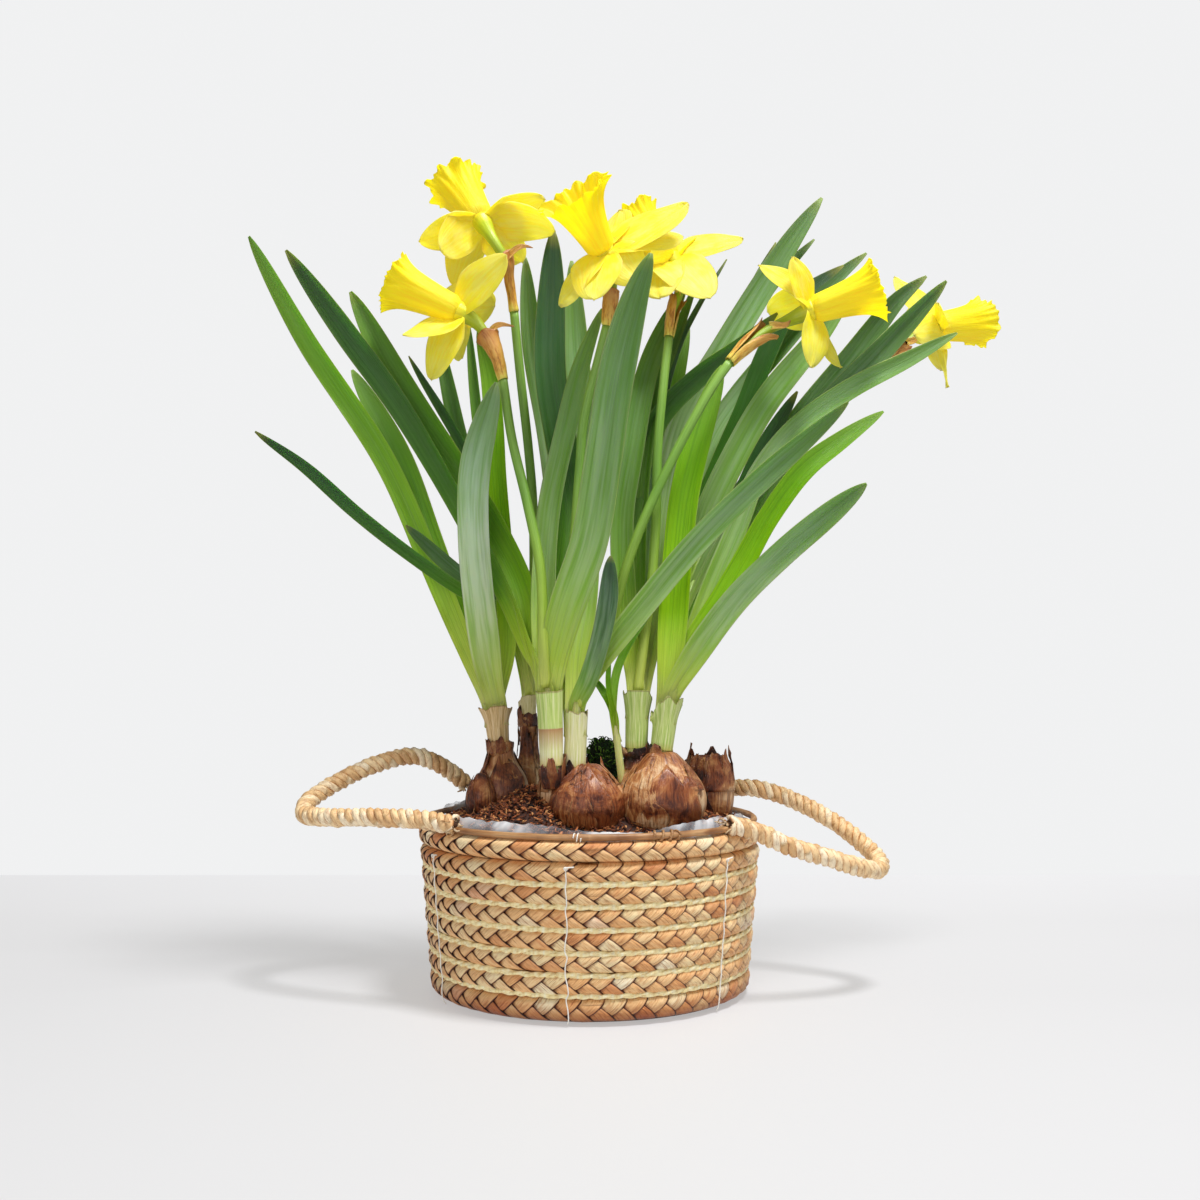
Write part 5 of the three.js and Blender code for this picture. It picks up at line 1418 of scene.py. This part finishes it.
# A flower is its neck, its axis, its trumpet's length, foot and mouth, how far its spathe comes up
# the neck with the spathe's radii, the reach of the spathe's dry end, and its petals. A petal is
# its reach and width, and for some the way its face looks.
FLOWERS = [
    (
        [(-49.5, 440, 0), (-52, 457, -3), (-55, 473, -8), (-64, 488, -7), (-71, 499, 5)],
        (-0.45, 0.52, 0.74), (42, 9.5, 18.8), (0.53, 3.7, 3.3, 3.6, 5.8), (19, -3, 5),
        [(-40, -9, -15.6, 22), (-26, -16, -22, 22, (-0.3, -0.7, -0.5)), (-19, 12, -40, 26),
         (24, 30, -18, 22), (48.5, 6, -4.6, 24), (41, 8, 18, 20)],
    ),
    (
        [(-56.6, 395.5, -22), (-61, 412, -20), (-68, 425, -17), (-75.5, 434, -15), (-86, 440, -15)],
        (-0.9, 0.05, 0.43), (46, 8.5, 17.5), (0.6, 3.7, 4.6, 5.6, 6.4), (18, -4, 6),
        [(32, -18, 32, 24, (-0.3, -0.9, 0.3)), (19, 36, 13, 24), (-14, 38, 22, 22),
         (-35, -19, -18, 23, (-0.2, -0.6, 0.7)), (-17, -6, -45, 22, (-0.5, -0.8, 0)), (-3, 36, -22, 23)],
    ),
    (
        [(11, 431, -36), (13, 445, -38), (14.5, 458, -41), (13.5, 468, -43), (8, 480, -45)],
        (-0.474, -0.456, 0.753), (38.5, 8.5, 22), (0.55, 3.8, 5, 5.4, 5.6), (-6, -3, 5),
        [(10, 30, 34, 26), (52, -10, 28, 25, (-0.3, -0.8, 0.6)), (50, -2, 8, 24, (-0.1, -0.7, 0.7)),
         (24, -14, -20, 24, (-0.2, -0.8, 0.4)), (-6, -25, -36, 27, (-0.3, -0.8, 0.3)),
         (-27, -13, -36, 23, (-0.7, -0.6, 0.2))],
    ),
    (
        [(51.4, 423.5, -2), (54, 440, 1), (58, 453, 5), (58.5, 463, 7), (52, 474, 12)],
        (-0.62, 0.3, 0.72), (40, 9, 18), (0.55, 3.8, 4.6, 5, 5.4), (5, -3, 6),
        [(48, 0, 14, 23, (-0.1, -0.7, 0.7)), (23, -30, -31, 31, (0.1, -0.8, 0.5)),
         (-8, -31, -32, 27, (-0.2, -0.8, 0.4)), (-22, -28, -8, 22), (-18, 38, -6, 24), (18, 36, 20, 24)],
    ),
    (
        [(91, 407, -30), (102, 418, -26), (116, 428, -19), (132, 435.5, -13), (145.2, 441, -14)],
        (0.94, -0.1, 0.31), (43, 8.5, 17), (0.58, 4.2, 5.4, 6, 6.8), (13, -4, 4),
        [(-36, -14, 25.6, 15, (0.3, -0.8, 0.5)), (-13, -16, 31, 17, (0.5, -0.8, 0.2)), (6, 36, 18, 20),
         (22.5, 12, -34, 15, (0.6, -0.6, 0.4)), (-3, -14, -39, 20, (0.6, -0.7, 0.1)), (-23, 34, 7, 24)],
    ),
    (
        [(192, 408, 36), (201, 416, 35), (209, 422, 36), (216.5, 426, 40), (225.5, 430, 47)],
        (0.82, 0.53, 0.18), (43, 9.5, 15.8), (0.4, 3.8, 4.4, 5, 5.4), (9, -3, 5),
        [(-27, 6, 36, 21, (0.5, -0.8, 0.3)), (-12, 40, 14, 22), (10, 24, -25, 18),
         (7, -10, -43, 14, (0.8, -0.4, 0.1)), (-21, -30, -12, 22, (0.7, -0.5, 0.4)),
         (-6, -36, 8, 15, (0.7, -0.3, 0.5))],
    ),
]
soft = {"Roughness": 0.5, "Subsurface_Weight": 0.6, "Subsurface_Scale": 0.006, "Specular_IOR_Level": 0.25}
# Painted light: a faint yellow glow lifts the petals' shaded sides.
petal_skin, tree = finish(
    "petal", Emission_Strength=0.1, Emission_Color=(1.0, 0.9, 0.1, 1.0),
    Subsurface_Radius=(1.0, 0.85, 0.15), **soft,
)
streak, blotch, tone = fibre_nodes(tree, 26.0, 2.5)
along = place_of(tree, 1)
lemon = ramp(tree, along, (0, 250, 224, 14), (0.25, 255, 228, 24), (0.7, 255, 233, 56), (1, 255, 235, 88))
pale = blend(tree, ramp(tree, blotch, (0.45, 0), (0.7, 0.5)), lemon, shade(255, 241, 128))
paint(tree, stain(tree, 0.45, pale, ramp(tree, streak, (0.36, 244, 222, 120), (0.52, 1))), streak, 0.0005)
# Painted light: a faint golden glow lifts the shaded sides of the trumpets and stamens.
trumpet = fibrous(
    "trumpet", (2.0, 60.0), 0.0007, 0,
    [(0, 255, 228, 10), (0.3, 255, 222, 10), (0.8, 255, 230, 34), (1, 250, 232, 54)],
    [(0.36, 246, 206, 60), (0.52, 1)], 0.4, Emission_Strength=0.12, Emission_Color=(1.0, 0.72, 0.02, 1.0),
    Subsurface_Radius=(1.0, 0.8, 0.1), **soft,
)
neck = fibrous(
    "flower_neck", (10.0, 5.0), 0.0004, 1,
    [(0, 134, 174, 66), (0.5, 158, 186, 40), (0.86, 186, 200, 30), (1, 240, 224, 34)],
    [(0.3, 200, 205, 180), (0.6, 1)], 0.5, Roughness=0.42,
)
husk_skin = fibrous(
    "spathe_paper", (13.0, 3.0), 0.0009, 1,
    [(0, 250, 226, 96), (0.2, 246, 196, 92), (0.6, 224, 162, 80), (1, 172, 112, 58)],
    [(0.36, 160, 98, 52), (0.46, 236, 204, 166), (0.55, 1)], 0.75,
    Roughness=0.42, Subsurface_Weight=0.3, Subsurface_Scale=0.003, Subsurface_Radius=(1.0, 0.7, 0.35),
)


def petal_outline(v):
    """Half the petal's width along it, as a share: narrow claw, broad middle, small point."""
    tip = max(0, (v - 0.44) / 0.56)
    return PETAL_FULL * (0.5 + 0.5 * min(1, v / 0.4) ** 0.8) * max(0.0, 1 - tip ** 2.4) ** 0.6


def petal(bm, centre, axis, seat, row, seed):
    dx, dy, dz, width, *facing = row
    reach = Vector((dx, dy, dz))
    ahead = reach.normalized()
    face = Vector(facing[0]) if facing else axis
    face = (face - ahead * face.dot(ahead)).normalized()
    across = ahead.cross(face)
    bend = centre + (reach - axis * reach.dot(axis)).normalized() * PETAL_BEND

    def place(u, v):
        t = 0.1 + 0.9 * v
        spine = centre * (1 - t) ** 2 + bend * 2 * t * (1 - t) + (centre + reach) * t * t + axis * seat
        side = cos(tau * u)
        half = width * petal_outline(v)
        cup = (0.16 - 0.3 * v * v) * half * side * side
        crease = 0.8 * (1 - abs(side)) ** 3 * (1 - v) + 0.25 * cos(side * 13) * (1 - v * 0.5)
        ripple = 1.9 * v * rough(seed, v * 3.2, side * 1.6) + 0.9 * v * side * sin(v * 7 + seed)
        curl = 2.1 * v * rough(seed + 5, v * 2, 0)
        rise = cup - crease + ripple + PETAL_THIN / 2 * puffed(tau * u)
        return spine + across * (side * half + curl) + face * rise

    skin(bm, PETAL_SIDES, PETAL_STEPS, place)


for number, (pedicel, axis, (length, foot, mouth), (to, *radii), flap_way, petals) in enumerate(FLOWERS, 1):
    axis = Vector(axis).normalized()
    pedicel = [seen(point) for point in pedicel]
    centre = pedicel[-1]
    aside = LOOKING.cross(axis).normalized()
    above = axis.cross(aside).normalized()

    bm = bmesh.new()
    for index, row in enumerate(petals):
        petal(bm, centre, axis, PETAL_SEATS[index % 2], row, number * 7 + index)
    make_piece(f"petals_{number}", bm, petal_skin, "petal", f"perianth_{number}")

    def neck_radius(v):
        if v < 0.5:
            return NECK_RADIUS + NECK_SWELL * max(0, v - 0.3) / 0.2
        return NECK_RADIUS + NECK_SWELL + TUBE_SWELL * ((v - 0.5) / 0.5) ** 2.2

    bm = bmesh.new()
    cord_skin(bm, [*pedicel[:-1], centre - axis * 3.5, centre], neck_radius, 18, 44)
    make_piece(f"neck_{number}", bm, neck, "leaf", f"perianth_{number}")

    def trumpet_place(u, v):
        turn = tau * v
        part = (1 - cos(tau * u)) / 2
        around = circle(turn)
        reach = foot * (0.45 + 0.55 * min(1, part / 0.12) ** 0.6)
        reach += (mouth - foot) * (0.3 * part + 0.45 * part ** 2 + 0.25 * part ** 7)
        fold = 0.05 * cos(6 * turn + number) + 0.02 * cos(13 * turn + 2 * number)
        fold += 0.1 * noise.noise(around * 1.5 + Vector((0, 0, number)))
        ruffle = 0.26 * noise.noise(around * 3.4 + Vector((0, 0, number * 5)))
        ruffle += 0.05 * cos(19 * turn + 2 * sin(3 * turn + number))
        reach *= 1 + fold * part + ruffle * part ** 6
        notch = 3.4 * noise.noise(around * 3.2 + Vector((number, 0, 9)))
        notch += 2.2 * noise.noise(around * 8 + Vector((0, number, 3)))
        height = TRUMPET_SEAT + (length + TRUMPET_SUNK) * part + notch * part ** 9
        reach += TRUMPET_WALL / 2 * puffed(tau * u) + 1.2 * part ** 12
        return centre + axis * height + wheel(aside, above, turn) * reach

    bm = bmesh.new()
    skin(bm, TRUMPET_ALONG, TRUMPET_AROUND, trumpet_place, ring=True)
    make_piece(f"trumpet_{number}", bm, trumpet, "trumpet", f"corona_{number}")

    bm = bmesh.new()
    points = [centre + axis * length * up for up in STYLE]
    cord_skin(bm, [centre - axis * 2, *points], STYLE_RADIUS, 8, 12)
    for stamen in range(STAMENS):
        out = wheel(aside, above, tau * (stamen + 0.3) / STAMENS)
        points = [centre + axis * length * up + out * away for up, away in STAMEN]
        cord_skin(bm, points, lambda v: 0.5 + 0.8 * max(0, sin(pi * kept((v - 0.6) / 0.4))), 6, 14)
    make_piece(f"stamens_{number}", bm, trumpet, "trumpet", f"perianth_{number}")

    line = smooth_route(pedicel, NECK_STEPS)
    radii = [(radius, index / (len(radii) - 1)) for index, radius in enumerate(radii)]

    def husk_line(part):
        spot = min(NECK_STEPS - 0.01, part * to * NECK_STEPS)
        step = int(spot)
        way = way_at(line, step).lerp(way_at(line, step + 1), spot - step).normalized()
        return line[step].lerp(line[step + 1], spot - step), way, *across_and_out(way, 0)

    def husk(u, v):
        point, way, side, face = husk_line(v)
        across = cos(tau * u)
        turn = across * radians(HUSK_WRAP - 60 * v ** 2) + number
        crumple = 0.9 * rough(across * 3, v * 3.5, number) + 0.35 * rough(across * 9, v * 9, number)
        reach = read_off(radii, v) - 0.5 + crumple * (0.3 + 0.7 * v) + 2.2 * v ** 4 * abs(across)
        reach += HUSK_THIN / 2 * puffed(tau * u)
        tear = 3.0 * v ** 3 * rough(across * 5, 0, number) - 4.5 * v ** 4 * abs(across) ** 1.5
        return point + wheel(side, face, turn) * reach + way * tear

    def flap(u, v):
        reach = Vector(flap_way)
        rim, way, side, face = husk_line(0.93)
        wide = LOOKING.cross(reach.normalized()).normalized()
        across = cos(tau * u)
        half = 2.7 * (1 - v) ** 0.6 + 0.15
        bow = way * 2.2 * sin(pi * v) + wide * 1.4 * sin(v * 5 + number)
        thick = HUSK_THIN / 2 * puffed(tau * u) - 1.2 * across * across * (1 - v) - 2.5 * (1 - v)
        return rim + reach * v + bow + wide * half * across + LOOKING * thick

    bm = bmesh.new()
    skin(bm, 36, 24, husk)
    skin(bm, 10, 16, flap)
    make_piece(f"spathe_paper_{number}", bm, husk_skin, "spathe", f"spathe_{number}")

# Size of the dressed part, the backdrop left out
low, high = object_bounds()
